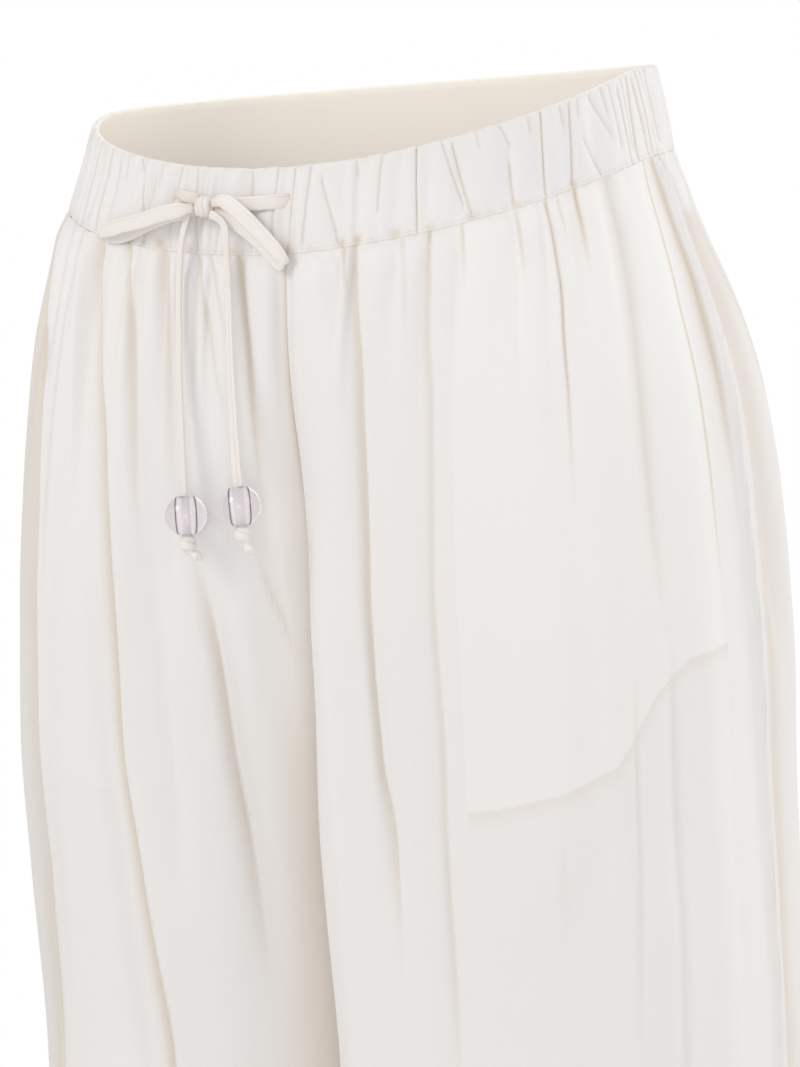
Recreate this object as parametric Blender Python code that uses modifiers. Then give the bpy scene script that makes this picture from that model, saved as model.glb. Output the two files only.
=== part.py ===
"""Wide-legged drawstring trousers in the shape they have when worn.

The trousers are cut from four cloth panels, gathered into an elastic waistband
casing. A flat self-fabric drawstring leaves the casing at the front, is tied in
a bow and carries a glass bead on each tail. The cloth stands in its worn form,
hollow and open at the waist and the hems.

All sizes are in millimetres and are turned into metres where a mesh is made.
X runs to the wearer's left, the front faces -Y and Z is up. The origin is the
middle of the waist, level with the top of the waistband at the side seams.
"""
import math
from typing import NamedTuple

import bmesh
import bpy
import numpy as np
from mathutils import Matrix, Vector

MM = 0.001

# Waistband
BAND_HEIGHT = 43.0
BAND_WALL = 3.0
SIDE_TILT = 11.0
FRONT_DIP = 38.0
FRONT_DIP_SHAPE = 1.6
BACK_RISE = 5.0
BACK_RISE_SHAPE = 0.7
WAIST_HALF_WIDTH = 149.0
WAIST_HALF_DEPTH = 104.0

# Cloth
CLOTH_WALL = 1.2
SEAM_GAP = 0.3
CROTCH_HEIGHT = -283.0
HEM_HEIGHT = -1030.0
TILT_FADE = 180.0
TUBE_ROUNDNESS = 2.2

# Grid of one panel
COLUMNS_PER_GATHER = 4
FORM_COLUMNS = 240
FORM_LEVEL_STEP = 2.0

# A panel's width is counted evenly between the side seam, two distances from
# the tube's inner end, and that end.
TURN_X = (52.0, 7.0)
TURN_ACROSS = (0.71, 0.93)
CENTRE_JOIN = 0.82
CENTRE_JOIN_FADE = 110.0


class Section(NamedTuple):
    """A level cut through one leg tube, measured from the body's middle.

    Above the crotch the tube reaches past the middle plane and is cut off
    there, which makes the centre seams. corner says how square the inner front
    corner is; 2 is an ellipse.
    """

    height: float
    middle: float
    outer: float
    inner: float
    front: float
    back: float
    inseam: float
    corner: float


LEFT_SECTIONS = (
    Section(20, 0, 143, -150, 102, 107, 0, 2.0),
    Section(-40, 0, 158, -150, 104, 110, 0, 2.0),
    Section(-75, 12, 172, -60, 109, 117, 0, 2.6),
    Section(-100, 25, 183, -30, 113, 123, 0, 3.2),
    Section(-150, 48, 200, -12, 119, 132, 0, 3.8),
    Section(-200, 68, 208, -4, 121, 138, 2, 4.2),
    Section(-245, 84, 211, -1, 121, 138, 6, 5.0),
    Section(-283, 95, 212, 0.15, 119, 134, 10, 6.0),
    Section(-330, 101, 213, 1, 115, 128, 8, 6.0),
    Section(-400, 105, 217, 2.5, 109, 118, 4, 5.0),
    Section(-500, 107, 221, 4, 102, 110, 0, 3.6),
    Section(-700, 108, 219, 8, 102, 108, 0, 3.0),
    Section(-1030, 107, 206, 12, 104, 110, 0, 2.4),
)

RIGHT_SECTIONS = (
    Section(20, 0, 141, -150, 102, 107, 0, 2.0),
    Section(-40, 0, 155, -150, 104, 110, 0, 2.0),
    Section(-75, 12, 168, -70, 108, 117, 0, 2.2),
    Section(-100, 25, 171.5, -42, 111, 123, 0, 2.4),
    Section(-150, 44, 178.5, -20, 116, 132, 0, 3.0),
    Section(-200, 60, 182.5, -8, 118, 138, 2, 3.4),
    Section(-245, 74, 184, -3, 117, 140, 6, 3.6),
    Section(-283, 80, 185, 0.15, 114, 140, 10, 3.4),
    Section(-330, 84, 186, 1, 110, 138, 12, 3.0),
    Section(-400, 86, 181, 3, 104, 135, 12, 2.7),
    Section(-500, 87, 172, 5, 97, 135, 12, 2.6),
    Section(-700, 86, 166, 8, 96, 128, 8, 2.4),
    Section(-1030, 91, 176, 12, 100, 114, 4, 2.2),
)


class SeamAngle(NamedTuple):
    """How far the side seam lies forward of the tube's side, in degrees."""

    height: float
    forward: float


SIDE_SEAM = (
    SeamAngle(20, 7),
    SeamAngle(-60, 10),
    SeamAngle(-140, 17),
    SeamAngle(-220, 19),
    SeamAngle(-330, 17),
    SeamAngle(-1030, 8),
)


class Gather(NamedTuple):
    """A gather below the band: its share of the width, height and run."""

    share: float
    rise: float
    run: float


# Each table runs from the side seam to the centre.
FRONT_LEFT_GATHERS = (
    Gather(0.17, 2.4, 130),
    Gather(0.09, 2.6, 170),
    Gather(0.08, 2.2, 110),
    Gather(0.07, 2.6, 190),
    Gather(0.12, 2.6, 100),
    Gather(0.08, 2.2, 120),
    Gather(0.07, 2.2, 160),
    Gather(0.10, 2.6, 140),
    Gather(0.04, 2.6, 110),
    Gather(0.18, 3.0, 200),
)

FRONT_RIGHT_GATHERS = (
    Gather(0.085, 2.4, 140),
    Gather(0.08, 2.8, 180),
    Gather(0.08, 2.8, 240),
    Gather(0.065, 2.6, 200),
    Gather(0.095, 3.2, 280),
    Gather(0.105, 3.4, 260),
    Gather(0.045, 2.2, 120),
    Gather(0.08, 2.6, 150),
    Gather(0.045, 2.4, 180),
    Gather(0.05, 2.4, 190),
    Gather(0.035, 2.2, 140),
    Gather(0.085, 2.8, 180),
    Gather(0.15, 3.0, 150),
)

BACK_GATHERS = (
    Gather(0.09, 2.6, 220),
    Gather(0.08, 3.2, 260),
    Gather(0.06, 2.4, 190),
    Gather(0.09, 3.0, 240),
    Gather(0.10, 3.0, 200),
    Gather(0.07, 2.4, 110),
    Gather(0.08, 2.8, 220),
    Gather(0.10, 3.2, 260),
    Gather(0.07, 2.2, 120),
    Gather(0.09, 3.0, 230),
    Gather(0.07, 2.4, 140),
    Gather(0.10, 2.8, 180),
)


class Fold(NamedTuple):
    """A long soft ridge, or a trough where rise is less than 0.

    across is the share of the panel's width from the side seam, at the top and
    at the bottom of the fold; width is the ridge's half width.
    """

    top: float
    bottom: float
    across_top: float
    across_bottom: float
    rise: float
    width: float


FRONT_LEFT_FOLDS = (
    Fold(-84, -430, 0.775, 0.69, -3.2, 8),
    Fold(-84, -620, 0.83, 0.80, 2.2, 12),
    Fold(-84, -520, 0.60, 0.57, -2.2, 10),
    Fold(-90, -420, 0.37, 0.35, 1.8, 12),
    Fold(-90, -520, 0.26, 0.25, 2.0, 13),
    Fold(-70, -1000, 0.06, 0.05, 1.6, 14),
    Fold(-330, -1030, 0.44, 0.40, 3.5, 24),
    Fold(-360, -1030, 0.18, 0.20, 3.5, 20),
    Fold(-420, -1030, 0.68, 0.62, 4.0, 26),
)

FRONT_RIGHT_FOLDS = (
    Fold(-66, -760, 0.325, 0.30, 4.5, 11),
    Fold(-72, -700, 0.425, 0.735, -4.0, 9),
    Fold(-72, -760, 0.485, 0.82, 3.0, 12),
    Fold(-80, -420, 0.58, 0.69, -2.6, 8),
    Fold(-80, -290, 0.63, 0.69, -2.4, 7),
    Fold(-190, -470, 0.745, 0.86, -2.6, 9),
    Fold(-84, -270, 0.85, 0.91, -2.4, 8),
    Fold(-70, -900, 0.14, 0.15, 4.0, 16),
    Fold(-480, -1030, 0.50, 0.44, 4.0, 22),
)

BACK_FOLDS = (
    Fold(-60, -640, 0.055, 0.10, 3.4, 8),
    Fold(-52, -300, 0.105, 0.15, -4.2, 8),
    Fold(-60, -560, 0.17, 0.21, 4.2, 10),
    Fold(-60, -360, 0.25, 0.27, -2.6, 9),
    Fold(-90, -820, 0.36, 0.37, 4.5, 16),
    Fold(-120, -1030, 0.55, 0.52, 5.0, 22),
    Fold(-150, -900, 0.78, 0.73, 4.5, 18),
    Fold(-420, -1030, 0.20, 0.18, 4.0, 22),
)

CREST_FLATNESS = 3.0
BAND_GATHER_RISE = 0.55
BAND_BELLY_SHAPE = 0.7
SEAM_GATHER_RISE = 0.22
GATHER_SWELL = 16.0
FOLD_FADE = 60.0
CENTRE_CALM = 10.0
CENTRE_MITRE = 0.5
EDGE_CALM = 12.0
BAND_OUTER_LINES = (1.0, 10.0, 22.0, 34.0, 43.0)

# Pockets in the side seams
POCKET_TOP = -102.0
POCKET_BOTTOM = -276.0
POCKET_LIP = 1.2
POCKET_LIP_FADE = 25.0
POCKET_LIP_WIDTH = 9.0
POCKET_ACROSS = 0.54
POCKET_START = 14.0
POCKET_COLUMNS = 9
POCKET_ROWS = 10
POCKET_WALL = 1.5
POCKET_GAP = {"left": 2.2, "right": 5.5}

# The bag's lower edge: share of its width from the side seam, and its height.
POCKET_EDGE = (
    (0.0, -272.0),
    (0.19, -278.0),
    (0.33, -294.0),
    (0.49, -330.0),
    (0.67, -343.0),
    (0.91, -352.0),
    (1.0, -353.0),
)

# Drawstring
STRING_WIDTH = 8.0
STRING_THICKNESS = 1.6
LOOP_STEPS = 3
KNOT_CENTRE = (-43.8, -110.8, -58.0)
KNOT_SIZE = (8.8, 9.0, 10.8)
KNOT_ROUNDING = 2.0
TAIL_RADIUS = 2.0
TAIL_STEPS = 2


class Band(NamedTuple):
    """A flat stretch of the drawstring, with the side its width lies to."""

    name: str
    spread: tuple
    width: float
    route: tuple


FLAT_BANDS = (
    Band("string_exit_side", (0.0, 0.0, 1.0), 5.6, (
        (-64.5, -102.6, -51.9),
        (-55.0, -107.0, -53.3),
        (-48.9, -107.2, -54.4),
    )),
    Band("string_exit_centre", (0.0, 0.0, 1.0), 7.5, (
        (0.5, -107.6, -54.6),
        (-12.9, -109.6, -55.9),
        (-27.4, -108.8, -56.6),
        (-39.1, -107.9, -57.4),
    )),
    Band("bow_loop_side", (-0.1, 0.0, 1.0), STRING_WIDTH, (
        (-49.2, -113.6, -58.6),
        (-55.5, -115.0, -59.7),
        (-66.8, -114.3, -62.0),
        (-79.6, -110.0, -65.4),
        (-93.8, -104.0, -68.2),
        (-103.9, -98.5, -70.4),
        (-109.3, -94.5, -71.9),
        (-106.1, -92.6, -73.6),
        (-94.6, -97.8, -72.6),
        (-80.0, -102.7, -67.6),
        (-68.7, -105.6, -63.5),
        (-58.1, -107.0, -61.0),
        (-49.2, -108.4, -60.2),
    )),
    Band("bow_loop_centre", (0.64, 0.0, 0.77), STRING_WIDTH, (
        (-37.9, -112.8, -55.9),
        (-32.5, -113.5, -54.9),
        (-26.8, -114.5, -57.4),
        (-18.8, -116.0, -63.0),
        (-8.4, -116.5, -72.2),
        (-1.4, -116.2, -79.8),
        (1.6, -114.4, -84.8),
        (-1.6, -112.6, -86.0),
        (-10.4, -111.8, -77.0),
        (-20.4, -111.6, -69.0),
        (-30.0, -111.0, -63.2),
        (-37.1, -110.3, -60.8),
    )),
)


class Tail(NamedTuple):
    """A free end of the drawstring with its bead and the knot below it."""

    side: str
    route: tuple
    bead: tuple
    lean: tuple
    end_knot: tuple


TAILS = (
    Tail(
        "side",
        (
            (-52.9, -111.2, -62.2),
            (-53.6, -111.2, -65.0),
            (-54.6, -111.5, -69.5),
            (-55.3, -112.6, -75.5),
            (-55.5, -114.0, -84.0),
            (-54.9, -116.6, -104.3),
            (-51.8, -122.4, -143.8),
            (-48.0, -127.0, -178.3),
            (-45.3, -130.0, -201.4),
            (-44.5, -130.5, -210.3),
            (-43.6, -131.0, -219.8),
        ),
        (-44.5, -130.5, -210.3),
        (0.09, -0.05, -1.0),
        (
            (-43.5, -131.0, -220.3),
            (-43.0, -131.0, -225.0),
            (-41.6, -130.6, -228.6),
            (-37.6, -129.4, -231.0),
        ),
    ),
    Tail(
        "centre",
        (
            (-38.4, -113.9, -61.9),
            (-35.5, -114.7, -62.8),
            (-31.6, -114.8, -66.0),
            (-29.9, -114.8, -71.0),
            (-28.8, -115.6, -85.0),
            (-27.2, -117.4, -103.9),
            (-23.9, -121.8, -143.2),
            (-19.7, -126.2, -177.6),
            (-16.6, -129.2, -196.2),
            (-15.2, -129.9, -205.0),
            (-13.9, -130.6, -214.5),
        ),
        (-15.2, -129.9, -205.0),
        (0.13, -0.07, -1.0),
        (
            (-13.8, -130.7, -215.0),
            (-13.2, -130.8, -219.6),
            (-12.0, -130.4, -223.4),
            (-9.2, -129.2, -227.4),
        ),
    ),
)

BEAD_RADIUS = 10.4
BEAD_BORE = 3.3
BEAD_ARC_POINTS = 9
BEAD_STEPS = 20

# Share along an end knot, and its radius there.
END_KNOT_SHAPE = (
    (0.0, 2.8),
    (0.06, 3.6),
    (0.28, 4.2),
    (0.45, 3.9),
    (0.6, 2.6),
    (0.72, 1.9),
    (0.9, 2.7),
    (1.0, 1.8),
)

# Rows of a panel, measured down from the band's lower seam.
UPPER_ROWS = (0.0, 8.0, 20.0, 38.0, 62.0, 92.0)
LOWER_ROWS = (125.0, 158.0, 188.0, 212.0, 229.0, 237.0, 240.0, 265.0, 305.0,
              360.0, 440.0, 560.0, 720.0, 870.0, 987.0)
CROTCH_DEPTH = 240.0
MEAN_SEAM_HEIGHT = -BAND_HEIGHT


def level_value(sections, name, height):
    """Interpolate one column of a table smoothly over height."""
    drop = np.array([-row.height for row in sections], float)
    value = np.array([getattr(row, name) for row in sections], float)
    slope = np.diff(value) / np.diff(drop)
    tangent = np.zeros_like(value)
    tangent[0] = slope[0]
    tangent[-1] = slope[-1]
    product = slope[:-1] * slope[1:]
    total = slope[:-1] + slope[1:]
    rising = product > 0
    tangent[1:-1][rising] = 2.0 * product[rising] / total[rising]
    where = np.clip(-np.asarray(height, float), drop[0], drop[-1])
    index = np.clip(np.searchsorted(drop, where, side="right") - 1, 0, len(drop) - 2)
    span = drop[index + 1] - drop[index]
    t = (where - drop[index]) / span
    start = (2 * t**3 - 3 * t**2 + 1) * value[index] + (t**3 - 2 * t**2 + t) * span * tangent[index]
    end = (3 * t**2 - 2 * t**3) * value[index + 1] + (t**3 - t**2) * span * tangent[index + 1]
    return start + end


def ease(value):
    """Go smoothly from 0 to 1 while value does."""
    t = np.clip(value, 0.0, 1.0)
    return t * t * (3.0 - 2.0 * t)


class LegForm:
    """The plain form of one leg tube, before gathers and folds.

    side is 1 for the wearer's left and -1 for the right. The outline at each
    level is kept as evenly spaced points, from the side seam to the centre.
    """

    def __init__(self, side, sections):
        self.side = side
        self.levels = np.arange(20.0, HEM_HEIGHT - FORM_LEVEL_STEP, -FORM_LEVEL_STEP)
        count = FORM_COLUMNS + 1
        self.outline = {
            "front": np.zeros((len(self.levels), count, 2)),
            "back": np.zeros((len(self.levels), count, 2)),
        }
        for index, height in enumerate(self.levels):
            for face in ("front", "back"):
                self.outline[face][index] = self.level_outline(sections, face, height)

    def level_outline(self, sections, face, height):
        """Give one panel's outline at a level, from side seam to centre."""
        middle, outer, inner, front, back, inseam, corner = (
            float(level_value(sections, name, height)) for name in Section._fields[1:]
        )
        forward = math.radians(float(level_value(SIDE_SEAM, "forward", height)))
        start = forward if face == "front" else -forward
        angle = np.linspace(start, math.pi, 900)
        across = np.cos(angle)
        depth = np.sin(angle)
        inner_power = corner if face == "front" else TUBE_ROUNDNESS
        power = np.where(across >= 0, TUBE_ROUNDNESS, inner_power)
        reach = np.where(across >= 0, outer - middle, middle - inner)
        x = middle + reach * np.sign(across) * np.abs(across) ** (2.0 / power)
        lobe = np.sign(depth) * np.abs(depth) ** (2.0 / power)
        if face == "front":
            half = np.where(lobe >= 0, front + inseam, back - inseam)
            y = inseam - half * lobe
        else:
            half = np.where(lobe >= 0, back - inseam, front + inseam)
            y = inseam + half * lobe
        edge = SEAM_GAP / 2
        if x[-1] < edge:
            last = int(np.argmax(x < edge))
            share = (x[last - 1] - edge) / (x[last - 1] - x[last])
            y[last] = y[last - 1] + share * (y[last] - y[last - 1])
            x[last] = edge
            x = x[:last + 1]
            y = y[:last + 1]
        length = np.concatenate([[0.0], np.cumsum(np.hypot(np.diff(x), np.diff(y)))])
        turns = [length[int(np.argmax(x < x[-1] + reach))] for reach in TURN_X]
        share = np.linspace(0.0, 1.0, FORM_COLUMNS + 1)
        even = np.interp(share, (0.0, *TURN_ACROSS, 1.0), (0.0, *turns, length[-1]))
        return np.stack([np.interp(even, length, x), np.interp(even, length, y)], axis=1)

    def points(self, face, across, height):
        """Give the form's points for a share across and a height."""
        table = self.outline[face]
        row = np.clip((self.levels[0] - height) / FORM_LEVEL_STEP, 0, len(self.levels) - 1.001)
        column = np.clip(across, 0, 1) * (FORM_COLUMNS - 0.001)
        r = row.astype(int)
        c = column.astype(int)
        fr = (row - r)[..., None]
        fc = (column - c)[..., None]
        near = table[r, c] * (1 - fc) + table[r, c + 1] * fc
        far = table[r + 1, c] * (1 - fc) + table[r + 1, c + 1] * fc
        flat = near * (1 - fr) + far * fr
        return np.stack([flat[..., 0], flat[..., 1], height], axis=-1)


def join_centre_seam(left, right):
    """Let both legs share one curve where they are cut at the middle."""
    share = np.linspace(0, 1, FORM_COLUMNS + 1)
    reach = ease((share - CENTRE_JOIN) / (1 - CENTRE_JOIN))
    for face in ("front", "back"):
        for index, height in enumerate(left.levels):
            fade = 1.0 - ease((CROTCH_HEIGHT - height) / CENTRE_JOIN_FADE)
            shared = (left.outline[face][index] + right.outline[face][index]) / 2
            for form in (left, right):
                line = form.outline[face][index]
                line += (reach * fade)[:, None] * (shared - line)


def rim_height(point, side):
    """Height of the waistband's top edge over a point of the waist line."""
    angle = np.arctan2(point[..., 0] / WAIST_HALF_WIDTH, -point[..., 1] / WAIST_HALF_DEPTH)
    dip = np.maximum(np.cos(angle), 0.0) ** FRONT_DIP_SHAPE
    rise = np.maximum(-np.cos(angle), 0.0) ** BACK_RISE_SHAPE
    return side * SIDE_TILT * np.sin(angle) - FRONT_DIP * dip + BACK_RISE * rise


def gather_shares(gathers):
    """Spread the columns so that each gather has its share of the width."""
    share = np.array([row.share for row in gathers])
    edges = np.concatenate([[0.0], np.cumsum(share)]) / share.sum()
    phase = np.linspace(0, len(gathers), len(gathers) * COLUMNS_PER_GATHER + 1)
    return np.interp(phase, np.arange(len(gathers) + 1), edges), phase


def gather_wave(gathers, phase):
    """Height of the gathers at full swell: flat crests, narrow troughs."""
    index = np.clip(phase.astype(int), 0, len(gathers) - 1)
    rise = np.array([row.rise for row in gathers])[index]
    return rise * (1.0 - np.abs(np.cos(math.pi * phase)) ** CREST_FLATNESS)


def gather_height(gathers, phase, depth):
    """Height of the gathers; depth is measured down from the band's seam."""
    index = np.clip(phase.astype(int), 0, len(gathers) - 1)
    run = np.array([row.run for row in gathers])[index]
    swell = SEAM_GATHER_RISE + (1 - SEAM_GATHER_RISE) * ease(depth / GATHER_SWELL)
    return gather_wave(gathers, phase) * swell * (1.0 - ease(depth / run))


def fold_height(folds, across, height, width_here):
    """Sum of the long folds of a panel at a share across and a height."""
    total = np.zeros_like(height)
    for fold in folds:
        t = np.clip((fold.top - height) / (fold.top - fold.bottom), 0, 1)
        line = fold.across_top + (fold.across_bottom - fold.across_top) * t
        away = (across - line) * width_here / fold.width
        start = ease((fold.top - height) / FOLD_FADE)
        end = 1.0 if fold.bottom <= HEM_HEIGHT else ease((height - fold.bottom) / FOLD_FADE)
        total += fold.rise * np.exp(-away * away) * start * end
    return total


class Panel(NamedTuple):
    """What sets one cut panel apart from the others."""

    name: str
    face: str
    gathers: tuple
    folds: tuple


LEFT_PANELS = (
    Panel("front_left", "front", FRONT_LEFT_GATHERS, FRONT_LEFT_FOLDS),
    Panel("back_left", "back", BACK_GATHERS, BACK_FOLDS),
)

RIGHT_PANELS = (
    Panel("front_right", "front", FRONT_RIGHT_GATHERS, FRONT_RIGHT_FOLDS),
    Panel("back_right", "back", BACK_GATHERS[::-1], BACK_FOLDS),
)


def outward(points, face):
    """Level directions that point away from the tube, for rows of a panel."""
    along = np.gradient(points[..., :2], axis=1)
    turn = -1.0 if face == "front" else 1.0
    normal = np.stack([along[..., 1], -along[..., 0]], axis=-1) * turn
    normal = normal / np.maximum(np.linalg.norm(normal, axis=-1, keepdims=True), 1e-9)
    return np.concatenate([normal, np.zeros(normal.shape[:-1] + (1,))], axis=-1)


def outline_width(points):
    """Length of each row of a grid."""
    steps = np.diff(points[..., :2], axis=1)
    return np.linalg.norm(steps, axis=2).sum(axis=1)[:, None]


class PanelGrid:
    """Points of one panel as if it were on the left, from the band to the hem."""

    def __init__(self, form, panel):
        self.form = form
        self.panel = panel
        self.across, self.phase = gather_shares(panel.gathers)
        waist = self.plain(np.full((1, len(self.across)), MEAN_SEAM_HEIGHT))[0]
        self.rim = rim_height(waist, form.side)
        depth = np.array(UPPER_ROWS + LOWER_ROWS)[:, None]
        self.outer = self.lifted(depth)

    def plain(self, height, across=None):
        """The form's points at some heights, all across the panel."""
        spread = self.across if across is None else across
        return self.form.points(self.panel.face, np.broadcast_to(spread, height.shape), height)

    def height_at(self, depth, rim=None):
        """Height of a row, tilted like the rim above and level lower down."""
        tilt = self.rim if rim is None else rim
        keep = 1.0 - ease(depth / TILT_FADE)
        return MEAN_SEAM_HEIGHT - SEAM_GAP - depth + tilt * keep

    def lifted(self, depth):
        """Move the form's points out by the gathers and the long folds."""
        height = self.height_at(depth)
        plain = self.plain(height)
        width = outline_width(plain)
        phase = np.broadcast_to(self.phase, height.shape)
        across = np.broadcast_to(self.across, height.shape)
        lift = gather_height(self.panel.gathers, phase, np.broadcast_to(depth, height.shape))
        lift = lift + fold_height(self.panel.folds, across, height, width)
        calm = ease(across * width / EDGE_CALM) * ease((1 - across) * width / EDGE_CALM)
        lift = lift * calm * ease(plain[..., 0] / CENTRE_CALM)
        if self.panel.face == "front":
            lift = lift + pocket_lip(height, across * width)
        return plain + outward(plain, self.panel.face) * lift[..., None]

    def band_points(self, below_rim, inset):
        """A level line of the waistband, with its gathers when inset is 0."""
        plain = self.plain((self.rim - below_rim)[None, :])
        belly = math.sin(math.pi * below_rim / BAND_HEIGHT) ** BAND_BELLY_SHAPE
        wave = gather_wave(self.panel.gathers, self.phase)
        lift = wave * (SEAM_GATHER_RISE + BAND_GATHER_RISE * belly)
        move = -inset if inset else lift
        return (plain + outward(plain, self.panel.face) * np.atleast_1d(move)[..., None])[0]


def pocket_lip(height, away):
    """Rise of the pocket opening's edge along the front's side seam."""
    start = ease((POCKET_TOP - height) / POCKET_LIP_FADE)
    end = ease((height - POCKET_BOTTOM) / POCKET_LIP_FADE)
    return POCKET_LIP * start * end * np.exp(-((away / POCKET_LIP_WIDTH) ** 2))


def ring_normals(ring, crotch_row):
    """Outward directions of a leg's ring, kept in the centre seam's plane."""
    along = np.gradient(ring, axis=1)
    closed = ring[:, 1] - ring[:, -2]
    along[crotch_row:, 0] = closed[crotch_row:]
    along[crotch_row:, -1] = closed[crotch_row:]
    normal = np.cross(np.gradient(ring, axis=0), along)
    normal /= np.maximum(np.linalg.norm(normal, axis=-1, keepdims=True), 1e-9)
    for end in (0, -1):
        flat = normal[:crotch_row, end].copy()
        flat[:, 0] = 0.0
        length = np.linalg.norm(flat, axis=-1, keepdims=True)
        normal[:crotch_row, end] = flat / np.maximum(length, CENTRE_MITRE)
    along /= np.maximum(np.linalg.norm(along, axis=-1, keepdims=True), 1e-9)
    return normal, along


def leg_walls(front, back):
    """Outer and inner grids of a leg's two panels, parted at their seams."""
    crotch_row = (UPPER_ROWS + LOWER_ROWS).index(CROTCH_DEPTH)
    ring = np.concatenate([front.outer[:, ::-1], back.outer[:, 1:]], axis=1)
    normal, along = ring_normals(ring, crotch_row)
    outer = {
        "front": front.outer[:, ::-1].copy(),
        "back": back.outer.copy(),
    }
    side = front.outer.shape[1] - 1
    part = {"front": slice(0, side + 1), "back": slice(side, None)}
    walls = {}
    for face, columns in part.items():
        side_column = -1 if face == "front" else 0
        seam_column = 0 if face == "front" else -1
        turn = -1.0 if face == "front" else 1.0
        face_outer = outer[face]
        shift = along[:, columns][:, side_column] * turn * SEAM_GAP / 2
        face_outer[:, side_column] += shift
        closed = along[:, columns][crotch_row:, seam_column] * turn * SEAM_GAP / 2
        face_outer[crotch_row:, seam_column] -= closed
        walls[face] = (face_outer, face_outer - normal[:, columns] * CLOTH_WALL)
    return walls


def row_faces(top, bottom, flip):
    """Faces between two rows of vertex numbers, of equal or half count."""
    faces = []
    if len(top) == len(bottom):
        for i in range(len(top) - 1):
            faces.append((top[i], bottom[i], bottom[i + 1]))
            faces.append((top[i], bottom[i + 1], top[i + 1]))
    else:
        for i in range(len(bottom) - 1):
            a, b, c = top[2 * i], top[2 * i + 1], top[2 * i + 2]
            faces.append((a, bottom[i], b))
            faces.append((b, bottom[i], bottom[i + 1]))
            faces.append((b, bottom[i + 1], c))
    return [face[::-1] for face in faces] if flip else faces


def wall_object(name, outer_rows, inner_rows, material, mirror):
    """Make a closed cloth wall from rows of outer and inner points."""
    points = []
    numbers = {"outer": [], "inner": []}
    for key, rows in (("outer", outer_rows), ("inner", inner_rows)):
        for row in rows:
            numbers[key].append(list(range(len(points), len(points) + len(row))))
            points.extend(row)
    faces = []
    outer = numbers["outer"]
    inner = numbers["inner"]
    for upper, lower in zip(outer, outer[1:]):
        faces += row_faces(upper, lower, False)
    for upper, lower in zip(inner, inner[1:]):
        faces += row_faces(upper, lower, True)
    faces += row_faces(inner[0], outer[0], False)
    faces += row_faces(outer[-1], inner[-1], False)
    start = [row[0] for row in outer], [row[0] for row in inner]
    end = [row[-1] for row in outer], [row[-1] for row in inner]
    faces += row_faces(start[0], start[1], False)
    faces += row_faces(end[1], end[0], False)
    return mesh_object(name, np.array(points), faces, material, mirror)


def mesh_object(name, points, faces, material, mirror=False):
    """Make a mesh object from points in millimetres."""
    scale = np.array([-MM if mirror else MM, MM, MM])
    mesh = bpy.data.meshes.new(name)
    mesh.from_pydata((points * scale).tolist(), [], faces)
    mesh.validate()
    work = bmesh.new()
    work.from_mesh(mesh)
    bmesh.ops.recalc_face_normals(work, faces=work.faces)
    work.to_mesh(mesh)
    work.free()
    mesh.shade_smooth()
    mesh.set_sharp_from_angle(angle=math.radians(60))
    mesh.materials.append(material)
    thing = bpy.data.objects.new(name, mesh)
    collection().objects.link(thing)
    return thing


def thinned(grid):
    """Rows for the mesh: all columns near the band, every other one below."""
    fine = len(UPPER_ROWS)
    return [row if index < fine else row[::2] for index, row in enumerate(grid)]


def build_leg(form, panels, cloth):
    """Build a leg's front and back panel and return their grids."""
    grids = {panel.face: PanelGrid(form, panel) for panel in panels}
    walls = leg_walls(grids["front"], grids["back"])
    for panel in panels:
        outer, inner = walls[panel.face]
        wall_object(panel.name, thinned(outer), thinned(inner), cloth, form.side < 0)
    return grids


def build_waistband(left, right, cloth):
    """Build the casing as one ring, gathered outside and plain inside."""
    lines = [(below, 0.0) for below in BAND_OUTER_LINES]
    lines += [(BAND_HEIGHT, BAND_WALL), (BAND_OUTER_LINES[0], BAND_WALL), (0.0, BAND_WALL / 2)]
    ring_lines = []
    for below, inset in lines:
        parts = []
        for grids, mirror in ((left, 1.0), (right, -1.0)):
            front = grids["front"].band_points(below, inset)[::-1]
            back = grids["back"].band_points(below, inset)
            half = np.concatenate([front, back[1:]])
            half[[0, -1], 0] = 0.0
            half = half * np.array([mirror, 1.0, 1.0])
            parts.append(half)
        ring_lines.append(np.concatenate([parts[0], parts[1][::-1][1:-1]]))
    count = len(ring_lines[0])
    faces = []
    for k in range(len(ring_lines)):
        top = k * count
        bottom = ((k + 1) % len(ring_lines)) * count
        for i in range(count):
            j = (i + 1) % count
            faces.append((top + i, bottom + i, bottom + j))
            faces.append((top + i, bottom + j, top + j))
    mesh_object("waistband", np.concatenate(ring_lines), faces, cloth)


def build_pocket(side, grids, form, cloth):
    """Hang a pocket bag inside a front panel, from its side seam."""
    grid = grids["front"]
    count = POCKET_COLUMNS + 1
    share = np.linspace(0, 1, count)
    across = share * POCKET_ACROSS
    rim = np.interp(across, grid.across, grid.rim)
    bottom = np.interp(share, *zip(*POCKET_EDGE))
    start = grid.height_at(np.full(count, POCKET_START), rim)
    rows = np.linspace(0, 1, POCKET_ROWS + 1)[:, None]
    height = start + (bottom - start) * rows
    plain = form.points("front", np.broadcast_to(across, height.shape), height)
    away = outward(plain, "front")
    gap = np.where(share > 0, POCKET_GAP[side], SEAM_GAP + 0.1)
    outer = plain - away * (CLOTH_WALL + gap)[None, :, None]
    inner = outer - away * POCKET_WALL
    name = "pocket_bag_" + side
    wall_object(name, list(outer[:, ::-1]), list(inner[:, ::-1]), cloth, form.side < 0)


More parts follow.
